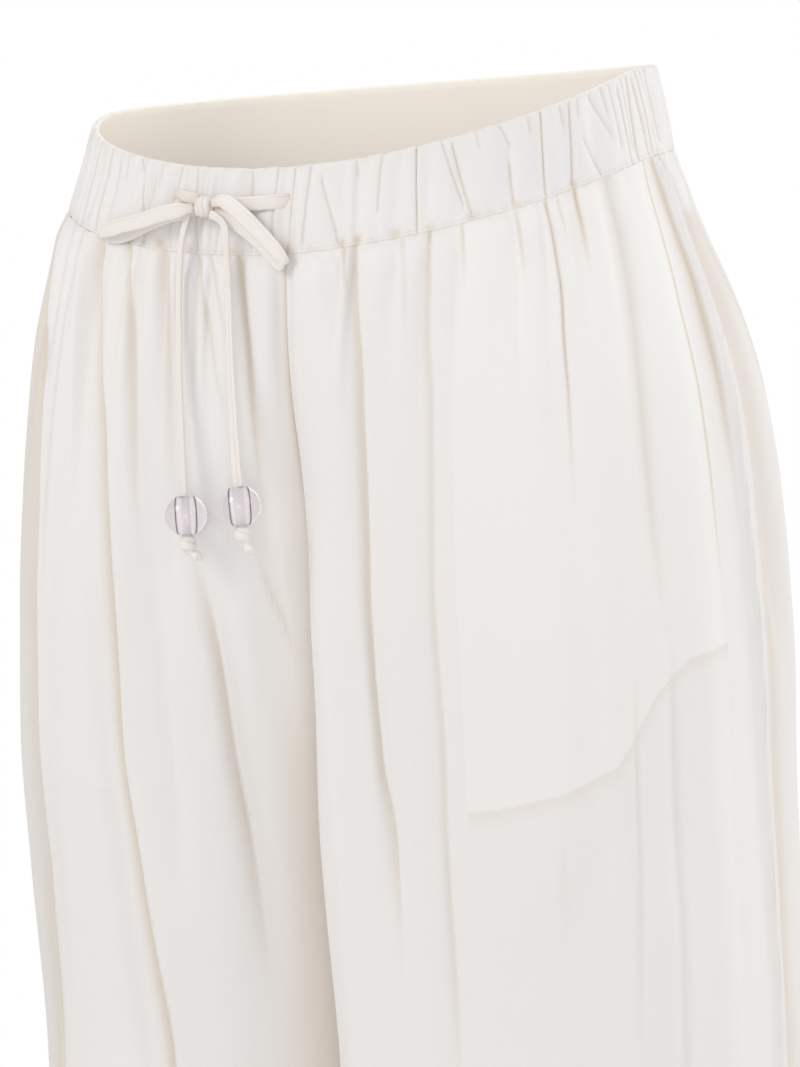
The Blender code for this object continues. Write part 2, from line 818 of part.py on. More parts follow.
def smooth_route(points, steps):
    """A smooth curve through hand-placed points, by Catmull and Rom's rule."""
    p = np.array(points, float)
    ends = np.concatenate([[2 * p[0] - p[1]], p, [2 * p[-1] - p[-2]]])
    t = np.linspace(0, 1, steps, endpoint=False)[:, None]
    spans = []
    for a, b, c, d in zip(ends, ends[1:], ends[2:], ends[3:]):
        spans.append(0.5 * (2 * b + (c - a) * t + (2 * a - 5 * b + 4 * c - d) * t**2
                            + (3 * b - a - 3 * c + d) * t**3))
    return np.concatenate(spans + [p[-1:]])


def along_route(route):
    """Unit directions along a route."""
    step = np.gradient(route, axis=0)
    return step / np.linalg.norm(step, axis=1, keepdims=True)


def ring_loft(name, rings, material):
    """Close a list of equal rings into one solid."""
    count = len(rings[0])
    faces = [tuple(range(count))[::-1]]
    for k in range(len(rings) - 1):
        for i in range(count):
            j = (i + 1) % count
            faces.append((k * count + i, (k + 1) * count + i, (k + 1) * count + j, k * count + j))
    last = (len(rings) - 1) * count
    faces.append(tuple(range(last, last + count)))
    return mesh_object(name, np.concatenate(rings), faces, material)


def build_flat_band(band, material):
    """Lay a flat band along its route, its width towards its spread."""
    line = smooth_route(band.route, LOOP_STEPS)
    direction = along_route(line)
    up = np.array(band.spread, float)
    wide = up - (direction @ up)[:, None] * direction
    wide /= np.linalg.norm(wide, axis=1, keepdims=True)
    thick = np.cross(direction, wide)
    profile = ((-0.5, 0), (-0.3, -0.5), (0.3, -0.5), (0.5, 0), (0.3, 0.5), (-0.3, 0.5))
    rings = []
    for centre, w, t in zip(line, wide, thick):
        ring = [centre + w * a * band.width + t * b * STRING_THICKNESS for a, b in profile]
        rings.append(np.array(ring))
    ring_loft(band.name, rings, material)


def build_knot(material):
    """The bow's knot, a rounded lump."""
    bpy.ops.mesh.primitive_cube_add(size=1.0)
    knot = bpy.context.active_object
    knot.name = "bow_knot"
    knot.data.name = "bow_knot"
    knot.data.transform(Matrix.Diagonal([c * MM for c in KNOT_SIZE]).to_4x4())
    knot.location = [c * MM for c in KNOT_CENTRE]
    rounding = knot.modifiers.new("rounding", "BEVEL")
    rounding.width = KNOT_ROUNDING * MM
    rounding.segments = 2
    knot.data.materials.append(material)
    move_to_collection(knot)


def build_bead(tail, material):
    """A bored glass bead, turned about the tail that runs through it."""
    end = math.asin(BEAD_BORE / BEAD_RADIUS)
    arc = np.linspace(end, math.pi - end, BEAD_ARC_POINTS)
    profile = [(BEAD_RADIUS * math.sin(a) * MM, 0.0, BEAD_RADIUS * math.cos(a) * MM) for a in arc]
    count = len(profile)
    mesh = bpy.data.meshes.new("bead_" + tail.side)
    mesh.from_pydata(profile, [(i, (i + 1) % count) for i in range(count)], [])
    mesh.materials.append(material)
    bead = bpy.data.objects.new("bead_" + tail.side, mesh)
    collection().objects.link(bead)
    turned = bead.modifiers.new("turned", "SCREW")
    turned.steps = BEAD_STEPS
    turned.render_steps = BEAD_STEPS
    turned.use_normal_calculate = False
    bead.location = [c * MM for c in tail.bead]
    bead.rotation_euler = Vector(tail.lean).to_track_quat("-Z", "Y").to_euler()


def build_tail(tail, material):
    """A tail as a round cord, from the knot through the bead."""
    route = smooth_route(tail.route, TAIL_STEPS)
    curve = bpy.data.curves.new("tail_" + tail.side, "CURVE")
    curve.dimensions = "3D"
    curve.bevel_depth = TAIL_RADIUS * MM
    curve.bevel_resolution = 2
    curve.use_fill_caps = True
    spline = curve.splines.new("POLY")
    spline.points.add(len(route) - 1)
    spline.points.foreach_set("co", np.column_stack([route * MM, np.ones(len(route))]).ravel())
    curve.materials.append(material)
    collection().objects.link(bpy.data.objects.new("tail_" + tail.side, curve))


def build_end_knot(tail, material):
    """The knot that holds a bead, with the cord's short end below it."""
    line = smooth_route(tail.end_knot, 4)
    share = np.linspace(0, 1, len(line))
    radius = np.interp(share, *zip(*END_KNOT_SHAPE))
    direction = along_route(line)
    first = np.cross(direction, (0.0, 1.0, 0.0))
    first /= np.linalg.norm(first, axis=1, keepdims=True)
    second = np.cross(direction, first)
    rings = []
    for centre, a, b, r in zip(line, first, second, radius):
        turn = np.linspace(0, 2 * math.pi, 8, endpoint=False)[:, None]
        rings.append(centre + r * (np.cos(turn) * a + np.sin(turn) * b))
    ring_loft("end_knot_" + tail.side, rings, material)


def move_to_collection(thing):
    """Keep an object in the trousers' collection alone."""
    for group in list(thing.users_collection):
        group.objects.unlink(thing)
    collection().objects.link(thing)


def collection():
    """The collection that holds the trousers."""
    name = "drawstring_trousers"
    found = bpy.data.collections.get(name)
    if found is None:
        found = bpy.data.collections.new(name)
        bpy.context.scene.collection.children.link(found)
    return found


def plain_material(name, colour, roughness, transmission=0.0):
    """A plain surface of one colour."""
    material = bpy.data.materials.new(name)
    material.use_nodes = True
    shader = material.node_tree.nodes["Principled BSDF"]
    shader.inputs["Base Color"].default_value = (*colour, 1.0)
    shader.inputs["Roughness"].default_value = roughness
    shader.inputs["Metallic"].default_value = 0.0
    shader.inputs["Transmission Weight"].default_value = transmission
    material.diffuse_color = (*colour, 1.0)
    return material


def clear_scene():
    """Remove whatever the file opened with."""
    for thing in list(bpy.data.objects):
        bpy.data.objects.remove(thing, do_unlink=True)


def main():
    """Build the trousers."""
    clear_scene()
    ivory = plain_material("ivory_crepe", (0.90, 0.86, 0.80), 0.55)
    left_form = LegForm(1, LEFT_SECTIONS)
    right_form = LegForm(-1, RIGHT_SECTIONS)
    join_centre_seam(left_form, right_form)
    left = build_leg(left_form, LEFT_PANELS, ivory)
    right = build_leg(right_form, RIGHT_PANELS, ivory)
    build_waistband(left, right, ivory)
    build_pocket("left", left, left_form, ivory)
    build_pocket("right", right, right_form, ivory)
    cream = plain_material("cream_string", (0.92, 0.85, 0.79), 0.5)
    glass = plain_material("clear_glass", (0.93, 0.90, 0.94), 0.05, 1.0)
    build_knot(cream)
    for band in FLAT_BANDS:
        build_flat_band(band, cream)
    for tail in TAILS:
        build_tail(tail, cream)
        build_bead(tail, glass)
        build_end_knot(tail, cream)


main()
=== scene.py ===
"""The looks of a pair of wide-legged drawstring trousers in ivory crepe.

The trousers stand in their worn shape. Four cloth panels are gathered into an
elastic waistband, a flat drawstring is tied in a bow at the front, and a clear
glass bead hangs on each of its tails.

Sizes are in millimetres and become metres where a mesh is made. X runs to the
wearer's left, the front faces -Y and Z is up. The origin is the middle of the
waist.
"""
import logging
import math
from dataclasses import dataclass, field
from enum import Enum
from typing import ClassVar

import bmesh
import bpy
import numpy as np
from bpy.types import Material, Node, NodeSocket, Object
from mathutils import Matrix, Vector


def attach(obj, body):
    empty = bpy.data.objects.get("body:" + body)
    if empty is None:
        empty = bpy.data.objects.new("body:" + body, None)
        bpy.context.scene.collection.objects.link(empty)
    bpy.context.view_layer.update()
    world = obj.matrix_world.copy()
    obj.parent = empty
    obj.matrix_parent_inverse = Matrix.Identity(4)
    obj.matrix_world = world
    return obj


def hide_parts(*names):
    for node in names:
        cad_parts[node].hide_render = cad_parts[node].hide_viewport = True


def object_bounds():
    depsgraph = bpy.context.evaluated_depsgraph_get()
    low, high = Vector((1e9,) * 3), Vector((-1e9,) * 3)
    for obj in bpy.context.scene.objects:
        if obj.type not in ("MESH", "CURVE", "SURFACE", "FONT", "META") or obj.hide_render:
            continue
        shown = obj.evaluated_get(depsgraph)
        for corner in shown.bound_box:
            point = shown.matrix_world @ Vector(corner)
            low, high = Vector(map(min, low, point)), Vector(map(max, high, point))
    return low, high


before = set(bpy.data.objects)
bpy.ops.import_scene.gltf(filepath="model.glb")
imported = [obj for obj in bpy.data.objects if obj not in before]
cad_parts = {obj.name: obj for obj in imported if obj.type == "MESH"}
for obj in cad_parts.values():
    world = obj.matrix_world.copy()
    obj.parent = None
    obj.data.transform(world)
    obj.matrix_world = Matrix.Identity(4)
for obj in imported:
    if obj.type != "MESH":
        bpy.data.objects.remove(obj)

MM = 0.001
LOG = logging.getLogger("trousers")
CAD_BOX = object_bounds()
Array = np.ndarray
Triple = tuple[float, float, float]
Path = tuple[tuple[float, ...], ...]


class Face(Enum):
    """The front or the back of a leg."""

    FRONT = "front"
    BACK = "back"


class Side(Enum):
    """The wearer's left or right."""

    LEFT = 1.0
    RIGHT = -1.0


def srgb(red: int, green: int, blue: int) -> Triple:
    """Turn a screen colour, in values from 0 to 255, into a linear one.

    Args:
        red: the red part.
        green: the green part.
        blue: the blue part.

    Returns:
        The colour in linear values from 0 to 1.
    """
    screen = np.array([red, green, blue]) / 255.0
    linear = np.where(screen <= 0.04045, screen / 12.92, ((screen + 0.055) / 1.055) ** 2.4)
    return tuple(float(value) for value in linear)


def ease(value: Array) -> Array:
    """Go smoothly from 0 to 1 while value does: 3t^2 - 2t^3."""
    t = np.clip(value, 0.0, 1.0)
    return t * t * (3.0 - 2.0 * t)


def bell(away: Array, width: float | Array, power: float = 2) -> Array:
    """A bell curve: exp(-|away / width|^power)."""
    return np.exp(-(np.abs(away / width) ** power))


def wave_noise(u: Array, v: Array, seed: int, octaves: int = 3) -> Array:
    """Uneven ripples from -1 to 1: a few sine waves in seeded directions.

    Args:
        u: one coordinate, in waves.
        v: the other coordinate, in waves.
        seed: which set of waves.
        octaves: how many sets of waves, each twice as fine.

    Returns:
        The height at each place.
    """
    rng = np.random.default_rng(seed)
    total = np.zeros(np.broadcast(u, v).shape)
    weight = 0.0
    for octave in range(octaves):
        for _ in range(4):
            turn = rng.uniform(0, 2 * math.pi)
            phase = rng.uniform(0, 2 * math.pi)
            rate = 2**octave * rng.uniform(0.7, 1.3)
            along = u * math.cos(turn) + v * math.sin(turn)
            total = total + np.sin(2 * math.pi * rate * along + phase) / 2**octave
            weight += 0.5 / 2**octave
    return total / weight


def line_noise(u: Array, seed: int, octaves: int = 3) -> Array:
    """Uneven ripples along one line, from about -1 to 1."""
    return wave_noise(u, np.zeros_like(u), seed, octaves)


def point_from(thing: Object, place: Vector, toward: Vector) -> None:
    """Put a camera or a lamp at a place in metres, facing a direction.

    Args:
        thing: the camera or the lamp.
        place: where it stands.
        toward: which way it looks.
    """
    bpy.context.scene.collection.objects.link(thing)
    thing.location = place
    thing.rotation_euler = toward.to_track_quat("-Z", "Y").to_euler()


@dataclass(frozen=True)
class PhotoView:
    """Where the picture was taken from, as a camera far in front of the waist."""

    azimuth: float = 24.0
    distance: float = 3000.0
    aim_right: float = 12.3
    aim_height: float = -227.0
    pixels_per_mm: float = 1.95
    frame_height: float = 1067.0
    sensor: float = 24.0

    def build(self) -> None:
        """Make the camera and let the scene look through it."""
        turn = math.radians(self.azimuth)
        middle = Vector((math.cos(turn), math.sin(turn), 0.0)) * self.aim_right
        place = middle + Vector((math.sin(turn), -math.cos(turn), 0.0)) * self.distance
        aim = middle + Vector((0.0, 0.0, self.aim_height))
        data = bpy.data.cameras.new("photo_view")
        data.sensor_fit = "VERTICAL"
        data.sensor_height = self.sensor
        data.lens = self.sensor * (aim - place).length / (self.frame_height / self.pixels_per_mm)
        data.clip_end = 20.0
        camera = bpy.data.objects.new("photo_view", data)
        point_from(camera, place * MM, aim - place)
        bpy.context.scene.camera = camera


class NodeTree:
    """Short words for adding and joining shader nodes."""

    def __init__(self, tree: bpy.types.NodeTree) -> None:
        """Keep the tree that the nodes go into."""
        self.tree = tree

    def feed(self, socket: NodeSocket, value: object) -> None:
        """Link a socket to another one, or set its number or colour.

        Args:
            socket: the socket that takes the value.
            value: a socket, a number, a colour or a vector.
        """
        if isinstance(value, NodeSocket):
            self.tree.links.new(value, socket)
        elif socket.type == "RGBA":
            socket.default_value = (*value, 1.0)
        else:
            socket.default_value = value

    def fill(self, node: Node, **values: object) -> Node:
        """Set a node's properties and feed its sockets.

        Args:
            node: the node.
            **values: a property by its name, or a socket by its name with
                spaces written as underscores.

        Returns:
            The same node.
        """
        for name, value in values.items():
            if hasattr(node, name):
                setattr(node, name, value)
            else:
                self.feed(node.inputs[name.replace("_", " ")], value)
        return node

    def add(self, kind: str, **values: object) -> Node:
        """Add a node, its kind without the ShaderNode prefix, and fill it."""
        return self.fill(self.tree.nodes.new("ShaderNode" + kind), **values)

    def calc(self, operation: str, *values: object) -> NodeSocket:
        """Give the result of a Math node of sockets or numbers.

        Args:
            operation: the node's operation.
            *values: what goes in, in the order of its sockets.

        Returns:
            The node's result.
        """
        node = self.add("Math", operation=operation)
        for socket, value in zip(node.inputs, values):
            self.feed(socket, value)
        return node.outputs[0]

    def times(self, first: object, second: object) -> NodeSocket:
        """Give the product of two sockets or numbers."""
        return self.calc("MULTIPLY", first, second)

    def ramp(self, value: NodeSocket, reach: float) -> NodeSocket:
        """Go smoothly from 0 to 1 where a value passes 0.5, within the reach of it."""
        return self.add("MapRange", interpolation_type="SMOOTHSTEP", Value=value,
                        From_Min=0.5 - reach, From_Max=0.5 + reach).outputs["Result"]

    def mark(self, name: str) -> NodeSocket:
        """Give the mesh's own values of a name."""
        return self.add("Attribute", attribute_name=name).outputs["Fac"]

    def mix(self, share: object, first: object, second: object) -> NodeSocket:
        """Blend two colours by the share of the second.

        Args:
            share: the share, a socket or a number.
            first: the colour at 0.
            second: the colour at 1.

        Returns:
            The blended colour.
        """
        node = self.add("Mix", data_type="RGBA")
        for index, value in ((0, share), (6, first), (7, second)):
            self.feed(node.inputs[index], value)
        return node.outputs[2]


@dataclass(frozen=True)
class Finish:
    """A material's name, and the start of its nodes."""

    name: str

    def start(self) -> tuple[Material, NodeTree, Node]:
        """Make the material, and give it with its nodes and its shader.

        Returns:
            The material, its nodes and its shader.
        """
        material = bpy.data.materials.new(self.name)
        material.use_nodes = True
        return material, NodeTree(material.node_tree), material.node_tree.nodes["Principled BSDF"]


@dataclass(frozen=True)
class SoftLight:
    """A square lamp that shines on the waist from some way off, in metres."""

    name: str
    azimuth: float
    height: float
    distance: float
    size: float
    power: float
    colour: Triple

    def build(self) -> None:
        """Put the lamp in the scene."""
        turn = math.radians(self.azimuth)
        place = Vector((math.sin(turn), -math.cos(turn), 0.0)) * self.distance
        place.z = self.height
        data = bpy.data.lights.new(self.name, "AREA")
        data.shape = "SQUARE"
        data.size = self.size
        data.energy = self.power
        data.color = self.colour
        point_from(bpy.data.objects.new(self.name, data), place, Vector((0, 0, -0.35)) - place)


@dataclass(frozen=True)
class Studio:
    """The white room: its walls' light, four soft lamps and a pale floor."""

    wall_light: float = 0.65
    wall_colour: Triple = (0.992, 0.995, 1.0)
    floor_drop: float = 25.0
    floor_size: float = 4.0
    floor_colour: Triple = (0.82, 0.81, 0.79)
    floor_roughness: float = 0.8
    lamps: tuple[SoftLight, ...] = (
        SoftLight("key", -36.0, 1.5, 2.6, 1.3, 26.5, (1.0, 0.995, 0.985)),
        SoftLight("fill", 92.0, 1.3, 2.8, 1.8, 21.0, (0.99, 0.992, 1.0)),
        SoftLight("lens", 20.0, -0.3, 3.0, 1.2, 9.0, (1.0, 0.98, 0.95)),
        SoftLight("back", 135.0, 0.9, 2.6, 1.6, 15.0, (1.0, 0.99, 0.97)),
    )

    def build(self) -> None:
        """Build the room round the trousers."""
        bpy.context.scene.view_settings.view_transform = "Standard"
        self.build_walls()
        for lamp in self.lamps:
            lamp.build()
        self.build_floor()

    def build_walls(self) -> None:
        """White behind the trousers, and soft light from all round."""
        world = bpy.data.worlds.new("white_room")
        world.use_nodes = True
        bpy.context.scene.world = world
        world.node_tree.nodes.clear()
        nodes = NodeTree(world.node_tree)
        seen = nodes.add("Background", Color=(1.0, 1.0, 1.0), Strength=1.0)
        light = nodes.add("Background", Color=self.wall_colour, Strength=self.wall_light)
        choice = nodes.add("MixShader", Fac=nodes.add("LightPath").outputs["Is Camera Ray"])
        nodes.feed(choice.inputs[1], light.outputs["Background"])
        nodes.feed(choice.inputs[2], seen.outputs["Background"])
        nodes.add("OutputWorld", Surface=choice.outputs["Shader"])

    def build_floor(self) -> None:
        """A plain pale floor a little below the hems."""
        height = CAD_BOX[0][2] - self.floor_drop * MM
        half = self.floor_size / 2
        mesh = bpy.data.meshes.new("floor")
        corners = [(x * half, y * half, height) for x, y in ((-1, -1), (1, -1), (1, 1), (-1, 1))]
        mesh.from_pydata(corners, [], [(0, 1, 2, 3)])
        floor = bpy.data.objects.new("floor", mesh)
        bpy.context.scene.collection.objects.link(floor)
        material, nodes, shader = Finish("pale_floor").start()
        nodes.fill(shader, Base_Color=self.floor_colour, Roughness=self.floor_roughness)
        mesh.materials.append(material)


def node_group(name: str, inputs: dict[str, float], outputs: tuple[str, ...]
               ) -> tuple[NodeTree, Node, Node, NodeSocket]:
    """Start a shader node group whose sockets are all numbers.

    Args:
        name: the group's name.
        inputs: each input's name and usual value.
        outputs: the outputs' names.

    Returns:
        The group's tree, its input node, its output node and the piece's UV.
    """
    group = bpy.data.node_groups.new(name, "ShaderNodeTree")
    for label, value in inputs.items():
        socket = group.interface.new_socket(label, in_out="INPUT", socket_type="NodeSocketFloat")
        socket.default_value = value
    for label in outputs:
        group.interface.new_socket(label, in_out="OUTPUT", socket_type="NodeSocketFloat")
    start = group.nodes.new("NodeGroupInput")
    end = group.nodes.new("NodeGroupOutput")
    nodes = NodeTree(group)
    return nodes, start, end, nodes.add("UVMap").outputs["UV"]


def build_weave_group() -> bpy.types.NodeTree:
    """Build the group that draws a crepe's threads.

    Warp and weft are two sets of fine lines on the piece's own UV map, in
    metres, pushed about by noise so that they look pebbled. Slub is a slow
    streak along the threads.

    Returns:
        The node group, with the outputs Height and Slub.
    """
    nodes, start, end, place = node_group(
        "crepe_weave", {"Thread Pitch": 0.0005, "Pebble": 0.6}, ("Height", "Slub"))
    split = nodes.add("SeparateXYZ", Vector=place)
    noise = nodes.add("TexNoise", Vector=place, Scale=1600.0, Detail=2.0, Roughness=0.6).outputs["Fac"]
    shift = nodes.times(nodes.calc("SUBTRACT", noise, 0.5), start.outputs["Pebble"])
    lines = []
    for axis in ("X", "Y"):
        turns = nodes.calc("DIVIDE", split.outputs[axis], start.outputs["Thread Pitch"])
        lines.append(nodes.calc("SINE", nodes.times(nodes.calc("ADD", turns, shift), 2 * math.pi)))
    threads = nodes.calc("MULTIPLY_ADD", nodes.times(*lines), 0.35, 0.5)
    height = nodes.calc("MULTIPLY_ADD", nodes.calc("SUBTRACT", noise, 0.5), start.outputs["Pebble"], threads)
    streak = nodes.add("Mapping", Vector=place, Scale=(520.0, 36.0, 1.0))
    slub = nodes.add("TexNoise", Vector=streak.outputs["Vector"], Scale=1.0, Detail=3.0, Roughness=0.55)
    nodes.fill(end, Height=height, Slub=slub.outputs["Fac"])
    return nodes.tree


def build_stitch_group() -> bpy.types.NodeTree:
    """Build the group that draws one row of stitches.

    The row lies where the UV map's V, in metres, is Line. Dashes of Pitch
    follow each other along U with short gaps between them.

    Returns:
        The node group, with the output Mask.
    """
    nodes, start, end, place = node_group(
        "stitch_row", {"Line": 0.0015, "Pitch": 0.0028, "Width": 0.0004}, ("Mask",))
    split = nodes.add("SeparateXYZ", Vector=place)
    away = nodes.calc("ABSOLUTE", nodes.calc("SUBTRACT", split.outputs["Y"], start.outputs["Line"]))
    near = nodes.calc("SUBTRACT", 1.0, nodes.calc("DIVIDE", away, start.outputs["Width"]))
    row = nodes.times(nodes.calc("MAXIMUM", near, 0.0), 2.0)
    part = nodes.calc("FRACT", nodes.calc("DIVIDE", split.outputs["X"], start.outputs["Pitch"]))
    middle = nodes.calc("ABSOLUTE", nodes.calc("SUBTRACT", part, 0.5))
    dash = nodes.times(nodes.calc("SUBTRACT", 0.36, middle), 12.0)
    dash = nodes.calc("MINIMUM", nodes.calc("MAXIMUM", dash, 0.0), 1.0)
    nodes.fill(end, Mask=nodes.times(nodes.calc("MINIMUM", row, 1.0), dash))
    return nodes.tree


@dataclass(frozen=True)
class CrepeFinish(Finish):
    """Ivory satin-backed crepe, with its weave, creases and seam stitches.

    painted_shade is the warm painted shade in creases and troughs; the
    stitches take it as their colour too. behind is painted light: the cloth is
    painted lighter where a pocket bag backs it. lining_and_glow is the plain
    inner side's colour and the colour of painted light: painted_glow makes that
    side give off light though no lamp lights it, and painted_fold_glow does so
    between the legs. The bag's edge is bag_edge soft, and bag_shade is how dark
    the painted shadow just below it is.
    """

    face: Triple = srgb(238, 236, 235)
    slub: Triple = srgb(235, 232, 230)
    painted_shade: Triple = srgb(212, 192, 166)
    behind: Triple = srgb(243, 241, 238)
    lining_and_glow: Triple = srgb(242, 235, 225)
    painted_glow: float = 0.19
    painted_fold_glow: float = 0.18
    bag_edge: float = 0.02
    bag_shade: float = 0.42
    roughness: float = 0.52
    weave_roughness: float = 0.10
    slub_share: float = 0.8
    stitch_line: float = 0.0
    stitch_pitch: float = 0.0028
    stitch_tone: float = 0.6
    stitch_dent: float = -2.2

    def build(self, weave: bpy.types.NodeTree, stitches: bpy.types.NodeTree) -> Material:
        """Make the material.

        Args:
            weave: the weave's node group.
            stitches: the stitch row's node group.

        Returns:
            The material.
        """
        material, nodes, shader = self.start()
        threads = nodes.add("Group", node_tree=weave).outputs
        bag_low = nodes.mark("bag_low")
        inside = nodes.mark("inside")
        above = nodes.ramp(bag_low, self.bag_edge)
        within = nodes.times(nodes.ramp(nodes.mark("bag_in"), self.bag_edge), nodes.mark("bag"))
        # Painted shadow on the cloth just below the pocket bag's lower edge.
        near = nodes.calc("MAXIMUM", nodes.calc("MULTIPLY_ADD", bag_low, 4.0, -1.0), 0.0)
        bag_shadow = nodes.times(nodes.calc("SUBTRACT", 1.0, above), nodes.times(near, near))
        bag_shadow = nodes.times(bag_shadow, nodes.times(within, self.bag_shade))
        colour = nodes.mix(nodes.times(threads["Slub"], self.slub_share), self.face, self.slub)
        # Painted light: the cloth is lighter where the pocket bag backs it.
        colour = nodes.mix(nodes.times(above, within), colour, self.behind)
        # Painted shade in creases, troughs and seams, and the painted shadow below the pocket bag.
        colour = nodes.mix(nodes.calc("MAXIMUM", nodes.mark("painted_shade"), bag_shadow), colour, self.painted_shade)
        height = threads["Height"]
        if self.stitch_line:
            row = nodes.add("Group", node_tree=stitches, Line=self.stitch_line,
                            Pitch=self.stitch_pitch).outputs["Mask"]
            faint = nodes.times(row, nodes.times(threads["Slub"], self.stitch_tone))
            colour = nodes.mix(faint, colour, self.painted_shade)
            height = nodes.calc("MULTIPLY_ADD", row, self.stitch_dent, height)
        rough = nodes.calc("MULTIPLY_ADD", threads["Height"], self.weave_roughness,
                           self.roughness - self.weave_roughness / 2)
        # Painted light: the inner side and the cloth between the legs give off light though no lamp lights
        # them.
        light = nodes.calc("MULTIPLY_ADD", nodes.mark("painted_light"), self.painted_fold_glow, nodes.times(inside, self.painted_glow))
        bump = nodes.add("Bump", Strength=0.16, Distance=0.0002, Height=height)
        nodes.fill(shader, Base_Color=nodes.mix(inside, colour, self.lining_and_glow), Roughness=rough,
                   Emission_Color=self.lining_and_glow, Emission_Strength=light, Normal=bump.outputs["Normal"],
                   Sheen_Weight=0.18, Sheen_Roughness=0.45, Sheen_Tint=(1.0, 0.97, 0.93),
                   Specular_IOR_Level=0.38)
        return material


@dataclass(frozen=True)
class StringFinish(Finish):
    """The drawstring's satin, a little pinker than the trousers."""

    face: Triple = srgb(243, 238, 234)
    painted_shade: Triple = srgb(216, 192, 170)
    roughness: float = 0.42
    weave_roughness: float = 0.12

    def build(self, weave: bpy.types.NodeTree) -> Material:
        """Make the material with the weave's node group.

        Args:
            weave: the node group of the threads.

        Returns:
            The material.
        """
        material, nodes, shader = self.start()
        threads = nodes.add("Group", node_tree=weave, Thread_Pitch=0.0004).outputs
        shade = nodes.calc("MULTIPLY_ADD", threads["Slub"], 0.25, -0.08)
        # Painted shade in the string's grooves, folds and ends, with the slub streaks in the same colour.
        tone = nodes.calc("ADD", nodes.mark("painted_shade"), nodes.calc("MAXIMUM", shade, 0.0))
        rough = nodes.calc("MULTIPLY_ADD", threads["Height"], self.weave_roughness,
                           self.roughness - self.weave_roughness / 2)
        bump = nodes.add("Bump", Strength=0.2, Distance=0.0002, Height=threads["Height"])
        nodes.fill(shader, Base_Color=nodes.mix(tone, self.face, self.painted_shade), Roughness=rough,
                   Normal=bump.outputs["Normal"], Sheen_Weight=0.15, Specular_IOR_Level=0.45)
        return material


@dataclass(frozen=True)
class BoreFinish(Finish):
    """The bore's ground wall in a bead: lilac, with painted mauve shade along its sides.

    The mark rim is 1 where the wall's upper rim is stained brown. Straight on,
    the wall is as solid as clear says and gives off painted light by
    painted_glow; its sides don't.
    """

    wall: Triple = srgb(250, 244, 250)
    # The mauve of the painted shade along the wall's sides.
    side: Triple = srgb(104, 62, 86)
    stain: Triple = srgb(92, 66, 58)
    clear: float = 0.35
    painted_glow: float = 0.3
    roughness: float = 0.28

    def build(self) -> Material:
        """Make the material.

        Returns:
            The material.
        """
        material, nodes, shader = self.start()
        # Painted shade: mauve where the wall is seen along its sides.
        edge = nodes.ramp(nodes.add("LayerWeight", Blend=0.5).outputs["Facing"], 0.16)
        place = nodes.add("TexCoord").outputs["Object"]
        cloud = nodes.add("TexNoise", Vector=place, Scale=420.0, Detail=2.0).outputs["Fac"]
        patch = nodes.times(nodes.mark("rim"), nodes.calc("GREATER_THAN", cloud, 0.5))
        colour = nodes.mix(patch, nodes.mix(edge, self.wall, self.side), self.stain)
        solid = nodes.calc("MULTIPLY_ADD", edge, 1.0 - self.clear, self.clear)
        # Painted light: straight on, the wall gives off light though no lamp lights it.
        nodes.fill(shader, Base_Color=colour, Roughness=self.roughness,
                   Alpha=nodes.calc("MAXIMUM", solid, patch), Emission_Color=self.wall,
                   Emission_Strength=nodes.calc("MULTIPLY_ADD", edge, -self.painted_glow, self.painted_glow))
        return material


@dataclass(frozen=True)
class GlassFinish(Finish):
    """Clear glass with a faint lilac cast and fine scuffs."""

    colour: Triple = (0.99, 0.975, 0.99)
    ior: float = 1.46
    polish: float = 0.012

    def build(self) -> Material:
        """Make the material.

        Returns:
            The material.
        """
        material, nodes, shader = self.start()
        place = nodes.add("TexCoord").outputs["Object"]
        scuff = nodes.add("TexNoise", Vector=place, Scale=900.0, Detail=3.0).outputs["Fac"]
        scuff = nodes.calc("MAXIMUM", nodes.calc("SUBTRACT", scuff, 0.58), 0.0)
        nodes.fill(shader, Base_Color=self.colour, Metallic=0.0, Transmission_Weight=1.0,
                   IOR=self.ior, Roughness=nodes.calc("MULTIPLY_ADD", scuff, 0.12, self.polish))
        return material


